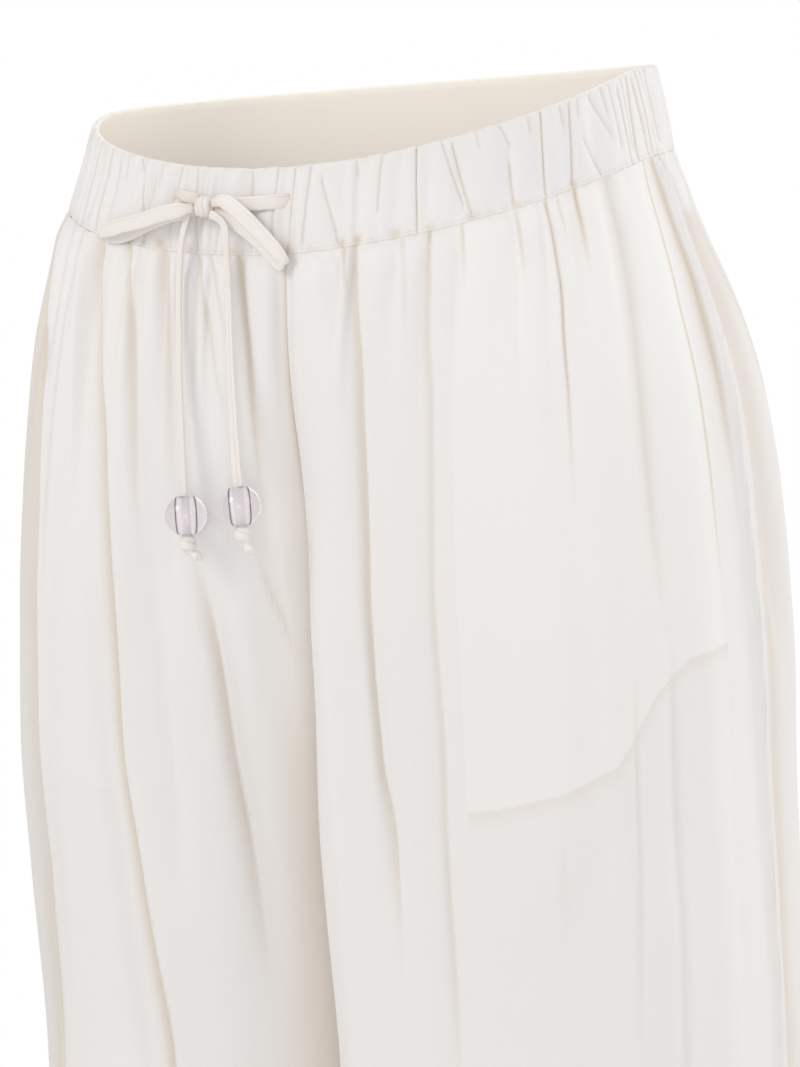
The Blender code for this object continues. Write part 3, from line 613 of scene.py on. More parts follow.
def grid_object(name: str, points: Array, material: Material,
                uv: Array | None = None, marks: dict[str, Array] | None = None,
                reverse: bool = False, round_columns: bool = False,
                round_rows: bool = False) -> Object:
    """Make an object from a grid of points in millimetres.

    Args:
        name: the piece's name.
        points: rows by columns by three.
        material: its finish.
        uv: rows by columns by two, in millimetres, where the finish needs it.
        marks: named values from 0 to 1 for each point.
        reverse: turn the faces over.
        round_columns: join the last column to the first.
        round_rows: join the last row to the first.

    Returns:
        The object, at the origin.
    """
    rows, columns = points.shape[:2]
    index = np.arange(rows * columns).reshape(rows, columns)
    if round_columns:
        index = np.concatenate([index, index[:, :1]], axis=1)
    if round_rows:
        index = np.concatenate([index, index[:1]], axis=0)
    quads = np.stack([index[:-1, :-1], index[:-1, 1:], index[1:, 1:], index[1:, :-1]], axis=-1)
    faces = quads.reshape(-1, 4)
    if reverse:
        faces = faces[:, ::-1]
    mesh = bpy.data.meshes.new(name)
    mesh.vertices.add(rows * columns)
    mesh.vertices.foreach_set("co", (points * MM).astype(np.float32).ravel())
    mesh.loops.add(faces.size)
    mesh.loops.foreach_set("vertex_index", faces.astype(np.int32).ravel())
    mesh.polygons.add(len(faces))
    mesh.polygons.foreach_set("loop_start", np.arange(0, faces.size, 4, dtype=np.int32))
    mesh.update(calc_edges=True)
    if uv is not None:
        layer = mesh.uv_layers.new(name="UVMap")
        flat = (uv * MM).reshape(-1, 2)[faces.ravel()]
        layer.data.foreach_set("uv", flat.astype(np.float32).ravel())
    for label, values in (marks or {}).items():
        attribute = mesh.attributes.new(label, "FLOAT", "POINT")
        attribute.data.foreach_set("value", np.clip(values, 0, 1).astype(np.float32).ravel())
    mesh.validate()
    mesh.shade_smooth()
    mesh.materials.append(material)
    thing = bpy.data.objects.new(name, mesh)
    bpy.context.scene.collection.objects.link(thing)
    return thing


def mend(thing: Object, merge: float = 0.0, ring: int = 0) -> None:
    """Turn a closed piece's faces outwards.

    Args:
        thing: the piece.
        merge: points closer than this, in metres, become one first.
        ring: how many points the first and last rings have, to close both.
    """
    work = bmesh.new()
    work.from_mesh(thing.data)
    if merge:
        bmesh.ops.remove_doubles(work, verts=work.verts, dist=merge)
    if ring:
        points = list(work.verts)
        for end in (points[:ring], points[-ring:]):
            work.faces.new(end).smooth = True
    bmesh.ops.recalc_face_normals(work, faces=work.faces)
    work.to_mesh(thing.data)
    work.free()


def thicken(thing: Object, wall: float) -> None:
    """Give an open cloth surface its wall in millimetres, on its inner side.

    Args:
        thing: the open surface.
        wall: how thick it becomes.
    """
    solid = thing.modifiers.new("wall", "SOLIDIFY")
    solid.thickness = wall * MM
    solid.offset = -1.0
    solid.use_even_offset = False


def settle(thing: Object, node: str) -> None:
    """Let a finished piece ride on the trousers and stand for a solid.

    Args:
        thing: the piece.
        node: the solid that it stands for.
    """
    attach(thing, "root")
    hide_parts(node)
    LOG.info("%s: %d faces", thing.name, len(thing.data.polygons))


@dataclass(frozen=True)
class Section:
    """A level cut through one leg tube, measured from the body's middle.

    Above the crotch the tube reaches past the middle plane and is cut off
    there, which makes the centre seams. corner says how square the inner front
    corner is; 2 is an ellipse.
    """

    height: float
    middle: float
    outer: float
    inner: float
    front: float
    back: float
    inseam: float
    corner: float


@dataclass(frozen=True)
class SeamAngle:
    """How far the side seam lies forward of the tube's side, in degrees."""

    height: float
    forward: float


@dataclass(frozen=True)
class Gather:
    """A gather below the band: its share of the width, height and run."""

    share: float
    rise: float
    run: float


@dataclass(frozen=True)
class Fold:
    """A long ridge, or a trough where rise is less than 0.

    across is the share of the panel's width from the side seam, at the top and
    at the bottom; bend moves its middle. width is the ridge's half width, and
    lean makes one flank steeper: 1 the side towards the centre seam.
    """

    top: float
    bottom: float
    across_top: float
    across_bottom: float
    rise: float
    width: float
    bend: float = 0.0
    lean: float = 0.0


@dataclass(frozen=True)
class Crease:
    """A narrow pinched line on the waistband, or just below it.

    top and bottom are distances down from the rim, and across is the share of
    the panel's width from the side seam. tone is how strong its painted shade is.
    """

    top: float
    bottom: float
    across_top: float
    across_bottom: float
    depth: float = 1.2
    width: float = 0.6
    tone: float = 0.48


@dataclass(frozen=True)
class PanelLine:
    """A fold line down a panel, sunk in, or raised where depth is less than 0.

    path gives its share across at some heights, from the top. seam_flank and
    centre_flank are its half widths towards the side seam and the centre, so
    that one flank can be crisp and the other soft. tone is how strong its
    painted shade is.
    """

    path: Path
    depth: float
    seam_flank: float
    centre_flank: float
    tone: float


def rows_of(kind: type, *rows: tuple[object, ...]) -> tuple[object, ...]:
    """Make a table from the values of its rows."""
    return tuple(kind(*row) for row in rows)


LEFT_SECTIONS = rows_of(
    Section,
    (20, 0, 143, -150, 102, 107, 0, 2.0), (-40, 0, 158, -150, 104, 110, 0, 2.0),
    (-75, 12, 172, -60, 109, 117, 0, 2.6), (-100, 25, 183, -30, 113, 123, 0, 3.2),
    (-150, 48, 200, -12, 119, 132, 0, 3.8), (-200, 68, 208, -4, 121, 138, 2, 4.2),
    (-245, 84, 211, -1, 121, 138, 6, 5.0), (-283, 95, 212, 0.15, 119, 134, 10, 6.0),
    (-330, 101, 213, 1, 115, 128, 8, 6.0), (-400, 105, 217, 2.5, 109, 118, 4, 5.0),
    (-500, 107, 221, 4, 102, 110, 0, 3.6), (-700, 108, 219, 8, 102, 108, 0, 3.0),
    (-1030, 107, 206, 12, 104, 110, 0, 2.4),
)

RIGHT_SECTIONS = rows_of(
    Section,
    (20, 0, 141, -150, 102, 107, 0, 2.0), (-40, 0, 155, -150, 104, 110, 0, 2.0),
    (-75, 12, 168, -70, 108, 117, 0, 2.2), (-100, 25, 171.5, -42, 111, 123, 0, 2.4),
    (-150, 44, 178.5, -20, 116, 132, 0, 3.0), (-200, 60, 182.5, -8, 118, 138, 2, 3.4),
    (-245, 74, 184, -3, 117, 140, 6, 3.6), (-283, 80, 185, 0.15, 114, 140, 10, 3.4),
    (-330, 84, 186, 1, 110, 138, 12, 3.0), (-400, 86, 181, 3, 104, 135, 12, 2.7),
    (-500, 87, 172, 5, 97, 135, 12, 2.6), (-700, 86, 166, 8, 96, 128, 8, 2.4),
    (-1030, 91, 176, 12, 100, 114, 4, 2.2),
)

SIDE_SEAM = rows_of(
    SeamAngle,
    (20, 7), (-60, 10), (-140, 17), (-220, 19), (-330, 17), (-1030, 8),
)

# Each table of gathers runs from the side seam to the centre.
FRONT_LEFT_GATHERS = rows_of(
    Gather,
    (0.17, 2.4, 130), (0.09, 2.6, 170), (0.08, 2.2, 110), (0.07, 2.6, 190), (0.12, 2.6, 100),
    (0.08, 2.2, 120), (0.07, 2.2, 160), (0.10, 2.6, 140), (0.04, 2.6, 110), (0.18, 3.0, 200),
)

FRONT_RIGHT_GATHERS = rows_of(
    Gather,
    (0.085, 2.4, 140), (0.08, 2.8, 180), (0.08, 2.8, 240), (0.065, 2.6, 200), (0.095, 3.2, 280),
    (0.105, 3.4, 260), (0.045, 2.2, 120), (0.08, 2.6, 150), (0.045, 2.4, 180), (0.05, 2.4, 190),
    (0.035, 2.2, 140), (0.085, 2.8, 180), (0.15, 3.0, 150),
)

BACK_GATHERS = rows_of(
    Gather,
    (0.09, 2.6, 220), (0.08, 3.2, 260), (0.06, 2.4, 190), (0.09, 3.0, 240), (0.10, 3.0, 200),
    (0.07, 2.4, 110), (0.08, 2.8, 220), (0.10, 3.2, 260), (0.07, 2.2, 120), (0.09, 3.0, 230),
    (0.07, 2.4, 140), (0.10, 2.8, 180),
)

FRONT_LEFT_FOLDS = rows_of(
    Fold,
    (-84, -430, 0.775, 0.69, -3.2, 8, -0.02), (-84, -620, 0.83, 0.80, 2.2, 12),
    (-84, -520, 0.60, 0.57, -2.2, 10), (-90, -420, 0.37, 0.35, 1.8, 12), (-90, -520, 0.26, 0.25, 2.0, 13),
    (-70, -1000, 0.06, 0.05, 1.6, 14), (-330, -1030, 0.44, 0.40, 3.5, 24),
    (-360, -1030, 0.18, 0.20, 3.5, 20), (-420, -1030, 0.68, 0.62, 4.0, 26),
)

FRONT_RIGHT_FOLDS = rows_of(
    Fold,
    (-66, -760, 0.325, 0.30, 4.5, 11, 0.03, 0.35), (-72, -700, 0.425, 0.735, -4.0, 9, -0.04),
    (-72, -760, 0.485, 0.82, 3.0, 12, -0.04), (-80, -420, 0.58, 0.69, -2.6, 8),
    (-80, -290, 0.63, 0.69, -2.4, 7), (-190, -470, 0.745, 0.86, -2.6, 9),
    (-84, -270, 0.85, 0.91, -2.4, 8), (-70, -900, 0.14, 0.15, 4.0, 16),
    (-480, -1030, 0.50, 0.44, 4.0, 22),
)

BACK_FOLDS = rows_of(
    Fold,
    (-60, -640, 0.055, 0.10, 3.4, 8), (-52, -300, 0.105, 0.15, -4.2, 8), (-60, -560, 0.17, 0.21, 4.2, 10),
    (-60, -360, 0.25, 0.27, -2.6, 9), (-90, -820, 0.36, 0.37, 4.5, 16),
    (-120, -1030, 0.55, 0.52, 5.0, 22), (-150, -900, 0.78, 0.73, 4.5, 18),
    (-420, -1030, 0.20, 0.18, 4.0, 22),
)

# Each path is pairs of a height and the share across there.
FRONT_LEFT_LINES = rows_of(
    PanelLine,
    (((-40, 1.0), (-300, 1.0)), 0.5, 1.1, 1.0, 0.75),
    (((-60, 0.785), (-84, 0.777), (-115, 0.758), (-146, 0.743), (-196, 0.728), (-261, 0.72),
     (-329, 0.708), (-369, 0.69), (-450, 0.682)), 2.0, 1.0, 3.2, 0.50),
    (((-60, 0.822), (-92, 0.795), (-110, 0.766)), 1.0, 1.0, 1.6, 0.65),
    (((-60, 0.672), (-98, 0.65), (-140, 0.628)), 0.7, 1.4, 1.4, 0.22),
    (((-60, 0.602), (-119, 0.594), (-162, 0.584), (-259, 0.588), (-317, 0.583), (-373, 0.586),
     (-520, 0.575)), 1.1, 1.0, 2.8, 0.26),
    (((-60, 0.60), (-119, 0.593), (-140, 0.588)), 0.7, 0.8, 1.0, 0.35),
    (((-60, 0.526), (-98, 0.516)), 0.6, 0.9, 1.0, 0.35),
    (((-60, 0.396), (-96, 0.386)), 0.9, 0.9, 1.2, 0.45),
    (((-50, 0.325), (-82, 0.313), (-110, 0.307), (-145, 0.307), (-215, 0.307)), 1.6, 0.8, 1.1, 0.62),
    (((-50, 0.293), (-78, 0.287)), 0.6, 0.8, 1.0, 0.35),
    (((-40, 0.246), (-66, 0.242), (-92, 0.237)), 1.1, 0.9, 1.4, 0.85),
    (((-40, 0.15), (-65, 0.147), (-99, 0.148), (-163, 0.154), (-235, 0.155), (-280, 0.155)), 2.4, 3.2,
     4.6, 0.24),
    (((-30, 0.006), (-66, 0.014), (-96, 0.015), (-163, 0.01), (-272, 0.003)), 0.7, 0.8, 0.7, 0.75),
    (((-270, 0.224), (-370, 0.232), (-500, 0.243)), 1.0, 2.2, 2.8, 0.16),
    (((-255, 0.146), (-380, 0.155), (-560, 0.168)), 1.8, 4.0, 5.0, 0.10),
    (((-345, 0.365), (-440, 0.362)), 1.0, 4.0, 6.0, 0.12),
    (((-560, 0.66), (-800, 0.65), (-1000, 0.64)), 1.8, 3.0, 5.0, 0.2),
    (((-560, 0.34), (-760, 0.33), (-980, 0.35)), 1.8, 5.0, 3.0, 0.2),
)

FRONT_RIGHT_LINES = rows_of(
    PanelLine,
    (((-40, 1.0), (-120, 1.0), (-290, 1.0)), 0.5, 3.4, 1.0, 0.50),
    (((-150, 1.0), (-205, 0.975), (-253, 0.955), (-285, 0.96)), 0.0, 9.0, 14.0, 0.12),
    (((-60, 0.34), (-93, 0.36), (-151, 0.383), (-201, 0.395), (-250, 0.403)), -2.0, 3.2, 2.6, 0.0),
    (((-60, 0.395), (-118, 0.443), (-167, 0.487), (-201, 0.51), (-249, 0.535), (-299, 0.55),
     (-337, 0.556), (-375, 0.578), (-437, 0.618), (-489, 0.655), (-640, 0.70)), 3.2, 5.6, 1.5, 0.60),
    (((-60, 0.495), (-100, 0.537), (-125, 0.555), (-174, 0.578), (-240, 0.605)), 1.8, 3.2, 1.6, 0.50),
    (((-60, 0.61), (-108, 0.648), (-166, 0.668), (-225, 0.69)), 1.8, 4.4, 2.6, 0.46),
    (((-70, 0.715), (-99, 0.75), (-129, 0.782), (-155, 0.808), (-185, 0.828)), 1.0, 1.8, 1.0, 0.45),
    (((-70, 0.745), (-108, 0.798), (-140, 0.834)), 0.7, 1.0, 1.0, 0.40),
    (((-70, 0.83), (-99, 0.85), (-132, 0.87), (-157, 0.88), (-225, 0.895)), 1.9, 1.4, 2.0, 0.66),
    (((-222, 0.722), (-259, 0.755), (-297, 0.772), (-335, 0.785), (-373, 0.805), (-460, 0.85)), 2.6, 4.6,
     1.1, 0.46),
    (((-218, 0.845), (-253, 0.888), (-269, 0.912), (-300, 0.945)), 1.8, 1.2, 4.0, 0.45),
    (((-282, 0.935), (-335, 0.925), (-409, 0.93), (-1030, 0.935)), 0.0, 16.0, 40.0, 0.30),
    (((-60, 0.185), (-119, 0.226), (-152, 0.262), (-202, 0.288), (-253, 0.318), (-303, 0.334),
     (-339, 0.34), (-411, 0.357), (-500, 0.36)), -2.2, 1.4, 3.0, 0.0),
    (((-60, 0.16), (-119, 0.20), (-202, 0.262), (-303, 0.305), (-411, 0.33), (-560, 0.335)), 1.6, 9.0,
     4.0, 0.55),
    (((-66, 0.14), (-119, 0.18), (-202, 0.242), (-303, 0.285), (-411, 0.31), (-700, 0.318),
     (-1020, 0.30)), 0.0, 44.0, 4.0, 0.40),
    (((-60, 0.095), (-140, 0.12), (-300, 0.15)), 1.6, 3.0, 2.0, 0.35),
    (((-30, 0.003), (-272, 0.003)), 0.7, 0.8, 0.7, 0.75),
    (((-600, 0.72), (-800, 0.75), (-1020, 0.76)), 1.8, 5.0, 2.0, 0.25),
    (((-520, 0.20), (-760, 0.18), (-1000, 0.20)), 1.8, 4.0, 4.0, 0.2),
)

BACK_LINES = rows_of(
    PanelLine,
    (((-30, 0.03), (-92, 0.034), (-143, 0.038), (-220, 0.042)), 2.2, 3.8, 0.9, 0.72),
    (((-30, 0.045), (-110, 0.052), (-182, 0.055), (-281, 0.064), (-620, 0.08)), -2.0, 1.2, 1.4, 0.0),
    (((-30, 0.075), (-90, 0.08), (-165, 0.085), (-267, 0.095)), -1.8, 1.1, 1.4, 0.0),
    (((-30, 0.062), (-110, 0.068), (-210, 0.071)), 1.4, 1.0, 1.0, 0.50),
    (((-60, 0.11), (-300, 0.12), (-1030, 0.115)), 0.6, 9.0, 14.0, 0.42),
    (((-40, 0.09), (-120, 0.096), (-200, 0.105)), 1.5, 1.4, 2.2, 0.5),
    (((-40, 0.17), (-110, 0.18), (-210, 0.19), (-300, 0.195)), 2.2, 1.2, 3.6, 0.5),
    (((-40, 0.256), (-130, 0.262)), 1.3, 1.2, 1.4, 0.5),
    (((-40, 0.32), (-120, 0.332), (-230, 0.338), (-420, 0.35)), 2.1, 4.4, 1.4, 0.4),
    (((-40, 0.42), (-100, 0.424), (-170, 0.436)), 1.6, 1.2, 2.6, 0.5),
    (((-40, 0.49), (-90, 0.486)), 1.0, 1.2, 1.2, 0.5),
    (((-40, 0.56), (-140, 0.574), (-260, 0.58), (-380, 0.60)), 2.2, 1.4, 4.8, 0.4),
    (((-40, 0.662), (-120, 0.65), (-200, 0.655)), 1.7, 3.0, 1.4, 0.45),
    (((-40, 0.735), (-90, 0.742)), 1.1, 1.0, 1.4, 0.5),
    (((-40, 0.83), (-130, 0.82), (-260, 0.80)), 2.0, 1.4, 3.4, 0.45),
    (((-40, 0.908), (-100, 0.902)), 1.0, 1.4, 1.0, 0.5),
    (((-40, 1.0), (-290, 1.0)), 0.5, 1.2, 1.0, 0.6),
    (((-300, 0.70), (-520, 0.73), (-800, 0.72)), 2.0, 2.4, 5.0, 0.25),
    (((-480, 0.42), (-760, 0.44), (-1020, 0.43)), 2.0, 5.0, 2.4, 0.2),
    (((-420, 0.23), (-640, 0.25), (-900, 0.24)), 1.8, 3.0, 5.0, 0.2),
)

# Pinched lines of the waistband, from the side seam to the centre.
FRONT_LEFT_CREASES = rows_of(
    Crease,
    (2, 43, 0.01, 0.02, 1.6, 0.7, 0.55), (0, 36, 0.04, 0.034, 1.3, 0.8, 0.35),
    (6, 43, 0.066, 0.052, 1.3, 0.7, 0.5), (0, 30, 0.10, 0.088, 1.0, 0.8, 0.25),
    (0, 14, 0.128, 0.118, 0.9, 0.8, 0.3), (0, 9, 0.21, 0.214, 0.8, 0.8, 0.3),
    (0, 10, 0.262, 0.256, 0.8, 0.8, 0.3), (0, 8, 0.352, 0.347, 0.8, 0.8, 0.25),
    (0, 9, 0.486, 0.48, 0.8, 0.9, 0.25), (0, 8, 0.79, 0.784, 0.8, 0.9, 0.25),
    (41.0, 43, 0.245, 0.245, 0.5, 2.0, 0.55), (41.5, 43, 0.395, 0.395, 0.5, 2.0, 0.40),
    (41.0, 43, 0.50, 0.502, 0.6, 3.2, 0.45), (41.0, 43, 0.602, 0.602, 0.5, 2.4, 0.40),
    (40.5, 43, 0.682, 0.682, 0.6, 2.8, 0.50), (40.0, 43, 0.777, 0.777, 0.7, 2.0, 0.75),
    (40.5, 43, 0.815, 0.815, 0.6, 1.6, 0.70), (39.5, 43, 0.99, 0.99, 0.7, 2.0, 0.75),
    (4, 25, 0.168, 0.116, 0.9, 0.65, 0.3), (22, 43, 0.205, 0.16, 0.9, 0.6, 0.36),
    (4, 43, 0.234, 0.247, 1.3, 0.55, 0.6), (1, 43, 0.316, 0.32, 1.4, 0.55, 0.6),
    (1, 12, 0.425, 0.402, 0.9, 0.6, 0.36), (22, 43, 0.404, 0.40, 1.0, 0.6, 0.48),
    (5, 42, 0.547, 0.50), (1, 34, 0.575, 0.523, 1.0, 0.55, 0.42),
    (0, 43, 0.639, 0.632, 1.5, 0.5, 0.6), (0, 27, 0.725, 0.729, 1.0, 0.65, 0.36),
    (9, 42, 0.874, 0.822, 1.2, 0.65, 0.36), (2, 38, 0.905, 0.918, 1.0, 0.5, 0.48),
    (1, 23, 0.968, 0.982, 1.5, 0.45, 0.6), (21, 43, 0.982, 0.985, 1.5, 0.45, 0.6),
)

FRONT_RIGHT_CREASES = rows_of(
    Crease,
    (0, 40, 0.04, 0.052, 1.2, 0.8, 0.4), (0, 43, 0.19, 0.20, 1.2, 0.7, 0.4),
    (0, 43, 0.282, 0.29, 1.2, 0.7, 0.4), (0, 43, 0.365, 0.372, 1.3, 0.7, 0.45),
    (0, 12, 0.45, 0.456, 0.9, 0.8, 0.3), (0, 10, 0.585, 0.58, 0.9, 0.8, 0.3),
    (39.5, 43, 0.50, 0.505, 0.8, 2.6, 0.55), (39.5, 43, 0.61, 0.62, 0.8, 3.0, 0.60),
    (40.5, 43, 0.70, 0.70, 0.7, 2.6, 0.50), (40.5, 43, 0.83, 0.83, 0.7, 2.2, 0.45),
    (1, 20, 0.15, 0.11, 1.0, 0.6, 0.42), (3, 40, 0.236, 0.25),
    (1, 30, 0.33, 0.312, 1.2, 0.55, 0.54), (8, 43, 0.405, 0.412, 1.1, 0.6, 0.42),
    (0, 26, 0.50, 0.545, 1.1, 0.55, 0.54), (10, 42, 0.56, 0.553, 1.0, 0.6, 0.36),
    (0, 18, 0.655, 0.634, 1.1, 0.55, 0.54), (2, 43, 0.705, 0.722, 1.0, 0.6, 0.42),
    (20, 43, 0.79, 0.772, 1.0, 0.6, 0.42), (2, 40, 0.86, 0.872, 1.1, 0.6, 0.42),
    (0, 30, 0.94, 0.925, 1.0, 0.6, 0.36),
)

BACK_CREASES = rows_of(
    Crease,
    (0, 43, 0.03, 0.04, 1.4, 0.7, 0.5), (0, 30, 0.052, 0.06, 1.2, 0.8, 0.3),
    (8, 43, 0.075, 0.066, 1.2, 0.7, 0.5), (5, 43, 0.012, 0.024, 1.2, 0.55, 0.48),
    (0, 36, 0.09, 0.094, 1.3, 0.6, 0.48), (2, 43, 0.17, 0.166),
    (6, 43, 0.262, 0.25), (0, 32, 0.33, 0.322),
    (0, 43, 0.412, 0.42), (10, 43, 0.50, 0.49),
    (0, 28, 0.575, 0.59), (3, 43, 0.66, 0.668),
    (0, 40, 0.745, 0.738), (4, 43, 0.83, 0.824),
    (0, 43, 0.905, 0.912),
)


@dataclass(frozen=True)
class Cut:
    """The sizes that all the trousers' cloth shares."""

    band_height: float = 43.0
    band_wall: float = 3.0
    side_tilt: float = 11.0
    front_dip: float = 38.0
    front_dip_shape: float = 1.6
    back_rise: float = 5.0
    back_rise_shape: float = 0.7
    waist_half_width: float = 149.0
    waist_half_depth: float = 104.0
    cloth_wall: float = 1.2
    seam_gap: float = 0.04
    crotch_height: float = -283.0
    hem_height: float = -1030.0
    tilt_fade: float = 180.0
    tube_roundness: float = 2.2
    turn_x: tuple[float, float] = (52.0, 7.0)
    turn_across: tuple[float, float] = (0.71, 0.93)
    centre_join: float = 0.82
    centre_join_fade: float = 110.0
    form_columns: int = 240
    form_level_step: float = 2.0


CUT = Cut()


def smooth_value(heights: tuple[float, ...], values: tuple[float, ...], height: Array) -> Array:
    """Interpolate values smoothly over height.

    The curve through them is a cubic whose slope at a value is the harmonic
    mean of the slopes beside it, so that it never overshoots.

    Args:
        heights: the values' heights, from top to bottom.
        values: the values.
        height: where to read them.

    Returns:
        The value at each height.
    """
    drop = -np.array(heights, float)
    value = np.array(values, float)
    slope = np.diff(value) / np.diff(drop)
    tangent = np.zeros_like(value)
    tangent[0] = slope[0]
    tangent[-1] = slope[-1]
    product = slope[:-1] * slope[1:]
    total = slope[:-1] + slope[1:]
    rising = product > 0
    tangent[1:-1][rising] = 2.0 * product[rising] / total[rising]
    where = np.clip(-np.asarray(height, float), drop[0], drop[-1])
    index = np.clip(np.searchsorted(drop, where, side="right") - 1, 0, len(drop) - 2)
    span = drop[index + 1] - drop[index]
    t = (where - drop[index]) / span
    start = (2 * t**3 - 3 * t**2 + 1) * value[index] + (t**3 - 2 * t**2 + t) * span * tangent[index]
    end = (3 * t**2 - 2 * t**3) * value[index + 1] + (t**3 - t**2) * span * tangent[index + 1]
    return start + end


def level_value(rows: tuple[object, ...], name: str, height: Array) -> Array:
    """Read one column of a table of levels smoothly at each height."""
    heights = tuple(row.height for row in rows)
    return smooth_value(heights, tuple(getattr(row, name) for row in rows), height)


@dataclass
class LegForm:
    """The plain form of one leg tube, before gathers and folds.

    The outline at each level is kept as evenly counted points, from the side
    seam to the centre, as if the leg were on the wearer's left.
    """

    side: Side
    sections: tuple[Section, ...]
    even_reach: float = 26.0
    even_fade: float = 0.1
    levels: Array = field(init=False)
    outline: dict[Face, Array] = field(init=False)

    def __post_init__(self) -> None:
        """Work out the outline at every level."""
        self.levels = np.arange(20.0, CUT.hem_height - CUT.form_level_step, -CUT.form_level_step)
        self.outline = {
            face: np.array([self.level_outline(face, height) for height in self.levels])
            for face in Face
        }

    def level_outline(self, face: Face, height: float) -> Array:
        """Give one panel's outline at a level, from side seam to centre.

        Each quarter of the outline is a superellipse: x goes with cos(a)^(2/p)
        and y with sin(a)^(2/p), where p is 2 for an ellipse and more for a
        squarer corner.

        Args:
            face: the front or the back.
            height: the level.

        Returns:
            Points of x and y.
        """
        names = ("middle", "outer", "inner", "front", "back", "inseam", "corner")
        middle, outer, inner, front, back, inseam, corner = (
            float(level_value(self.sections, name, height)) for name in names)
        forward = math.radians(float(level_value(SIDE_SEAM, "forward", height)))
        start = forward if face is Face.FRONT else -forward
        angle = np.linspace(start, math.pi, 900)
        across = np.cos(angle)
        depth = np.sin(angle)
        inner_power = corner if face is Face.FRONT else CUT.tube_roundness
        power = np.where(across >= 0, CUT.tube_roundness, inner_power)
        reach = np.where(across >= 0, outer - middle, middle - inner)
        x = middle + reach * np.sign(across) * np.abs(across) ** (2.0 / power)
        lobe = np.sign(depth) * np.abs(depth) ** (2.0 / power)
        if face is Face.FRONT:
            y = inseam - np.where(lobe >= 0, front + inseam, back - inseam) * lobe
        else:
            y = inseam + np.where(lobe >= 0, back - inseam, front + inseam) * lobe
        edge = CUT.seam_gap / 2
        if x[-1] < edge:
            last = int(np.argmax(x < edge))
            share = (x[last - 1] - edge) / (x[last - 1] - x[last])
            y[last] = y[last - 1] + share * (y[last] - y[last - 1])
            x[last] = edge
            x = x[:last + 1]
            y = y[:last + 1]
        length = np.concatenate([[0.0], np.cumsum(np.hypot(np.diff(x), np.diff(y)))])
        turns = [length[int(np.argmax(x < x[-1] + reach))] for reach in CUT.turn_x]
        count = np.linspace(0.0, 1.0, CUT.form_columns + 1)
        even = np.interp(count, (0.0, *CUT.turn_across, 1.0), (0.0, *turns, length[-1]))
        return np.stack([np.interp(even, length, x), np.interp(even, length, y)], axis=1)

    def even_out(self) -> None:
        """Slide each outline's points along it so that they line up over height.

        A point's distance from the side seam is averaged over the levels
        within even_reach of its own, and the outline keeps its shape. Points
        beyond the last turn stay, because the outline gets longer there where
        the legs part.
        """
        half = int(self.even_reach / CUT.form_level_step)
        kernel = np.hanning(2 * half + 3)[1:-1]
        kernel /= kernel.sum()
        for face, outline in self.outline.items():
            steps = np.linalg.norm(np.diff(outline, axis=1), axis=2)
            length = np.concatenate([np.zeros((len(outline), 1)), np.cumsum(steps, axis=1)], axis=1)
            padded = np.pad(length, ((half, half), (0, 0)), mode="edge")
            even = np.array([np.convolve(column, kernel, mode="valid") for column in padded.T]).T
            last = CUT.turn_across[-1]
            stays = ease((np.linspace(0, 1, length.shape[1]) - last + self.even_fade) / self.even_fade)
            place = np.minimum(even + stays * (length - even), length[:, -1:])
            self.outline[face] = np.array([
                np.stack([np.interp(place[i], length[i], outline[i, :, k]) for k in (0, 1)], axis=1)
                for i in range(len(outline))
            ])

    def points(self, face: Face, across: Array, height: Array) -> Array:
        """Give the form's points for a share across and a height.

        Args:
            face: the front or the back.
            across: the share of the width from the side seam.
            height: the height, of the same shape.

        Returns:
            Points of x, y and z.
        """
        table = self.outline[face]
        row = np.clip((self.levels[0] - height) / CUT.form_level_step, 0, len(self.levels) - 1.001)
        column = np.clip(across, 0, 1) * (CUT.form_columns - 0.001)
        r = row.astype(int)
        c = column.astype(int)
        fr = (row - r)[..., None]
        fc = (column - c)[..., None]
        near = table[r, c] * (1 - fc) + table[r, c + 1] * fc
        far = table[r + 1, c] * (1 - fc) + table[r + 1, c + 1] * fc
        flat = near * (1 - fr) + far * fr
        return np.stack([flat[..., 0], flat[..., 1], height], axis=-1)


def join_centre_seam(left: LegForm, right: LegForm) -> None:
    """Let both legs share one curve where they are cut at the middle.

    Args:
        left: the left leg's form.
        right: the right leg's form.
    """
    for form in (left, right):
        form.even_out()
    share = np.linspace(0, 1, CUT.form_columns + 1)
    reach = ease((share - CUT.centre_join) / (1 - CUT.centre_join))
    fade = 1.0 - ease((CUT.crotch_height - left.levels) / CUT.centre_join_fade)
    weight = (fade[:, None] * reach[None, :])[..., None]
    for face in Face:
        shared = (left.outline[face] + right.outline[face]) / 2
        for form in (left, right):
            form.outline[face] += weight * (shared - form.outline[face])


def rim_height(point: Array, side: Side) -> Array:
    """Height of the waistband's top edge over a point of the waist line.

    Args:
        point: places with x and y as their first two values.
        side: the side that the places are on.

    Returns:
        The height at each place.
    """
    angle = np.arctan2(point[..., 0] / CUT.waist_half_width, -point[..., 1] / CUT.waist_half_depth)
    dip = np.maximum(np.cos(angle), 0.0) ** CUT.front_dip_shape
    rise = np.maximum(-np.cos(angle), 0.0) ** CUT.back_rise_shape
    return side.value * CUT.side_tilt * np.sin(angle) - CUT.front_dip * dip + CUT.back_rise * rise


def outward(points: Array, face: Face) -> Array:
    """Level directions that point away from the tube, for rows of a panel.

    Args:
        points: rows by columns by three.
        face: the front or the back.

    Returns:
        One direction for each point, of length 1.
    """
    along = np.gradient(points[..., :2], axis=1)
    turn = -1.0 if face is Face.FRONT else 1.0
    normal = np.stack([along[..., 1], -along[..., 0]], axis=-1) * turn
    normal = normal / np.maximum(np.linalg.norm(normal, axis=-1, keepdims=True), 1e-9)
    return np.concatenate([normal, np.zeros(normal.shape[:-1] + (1,))], axis=-1)


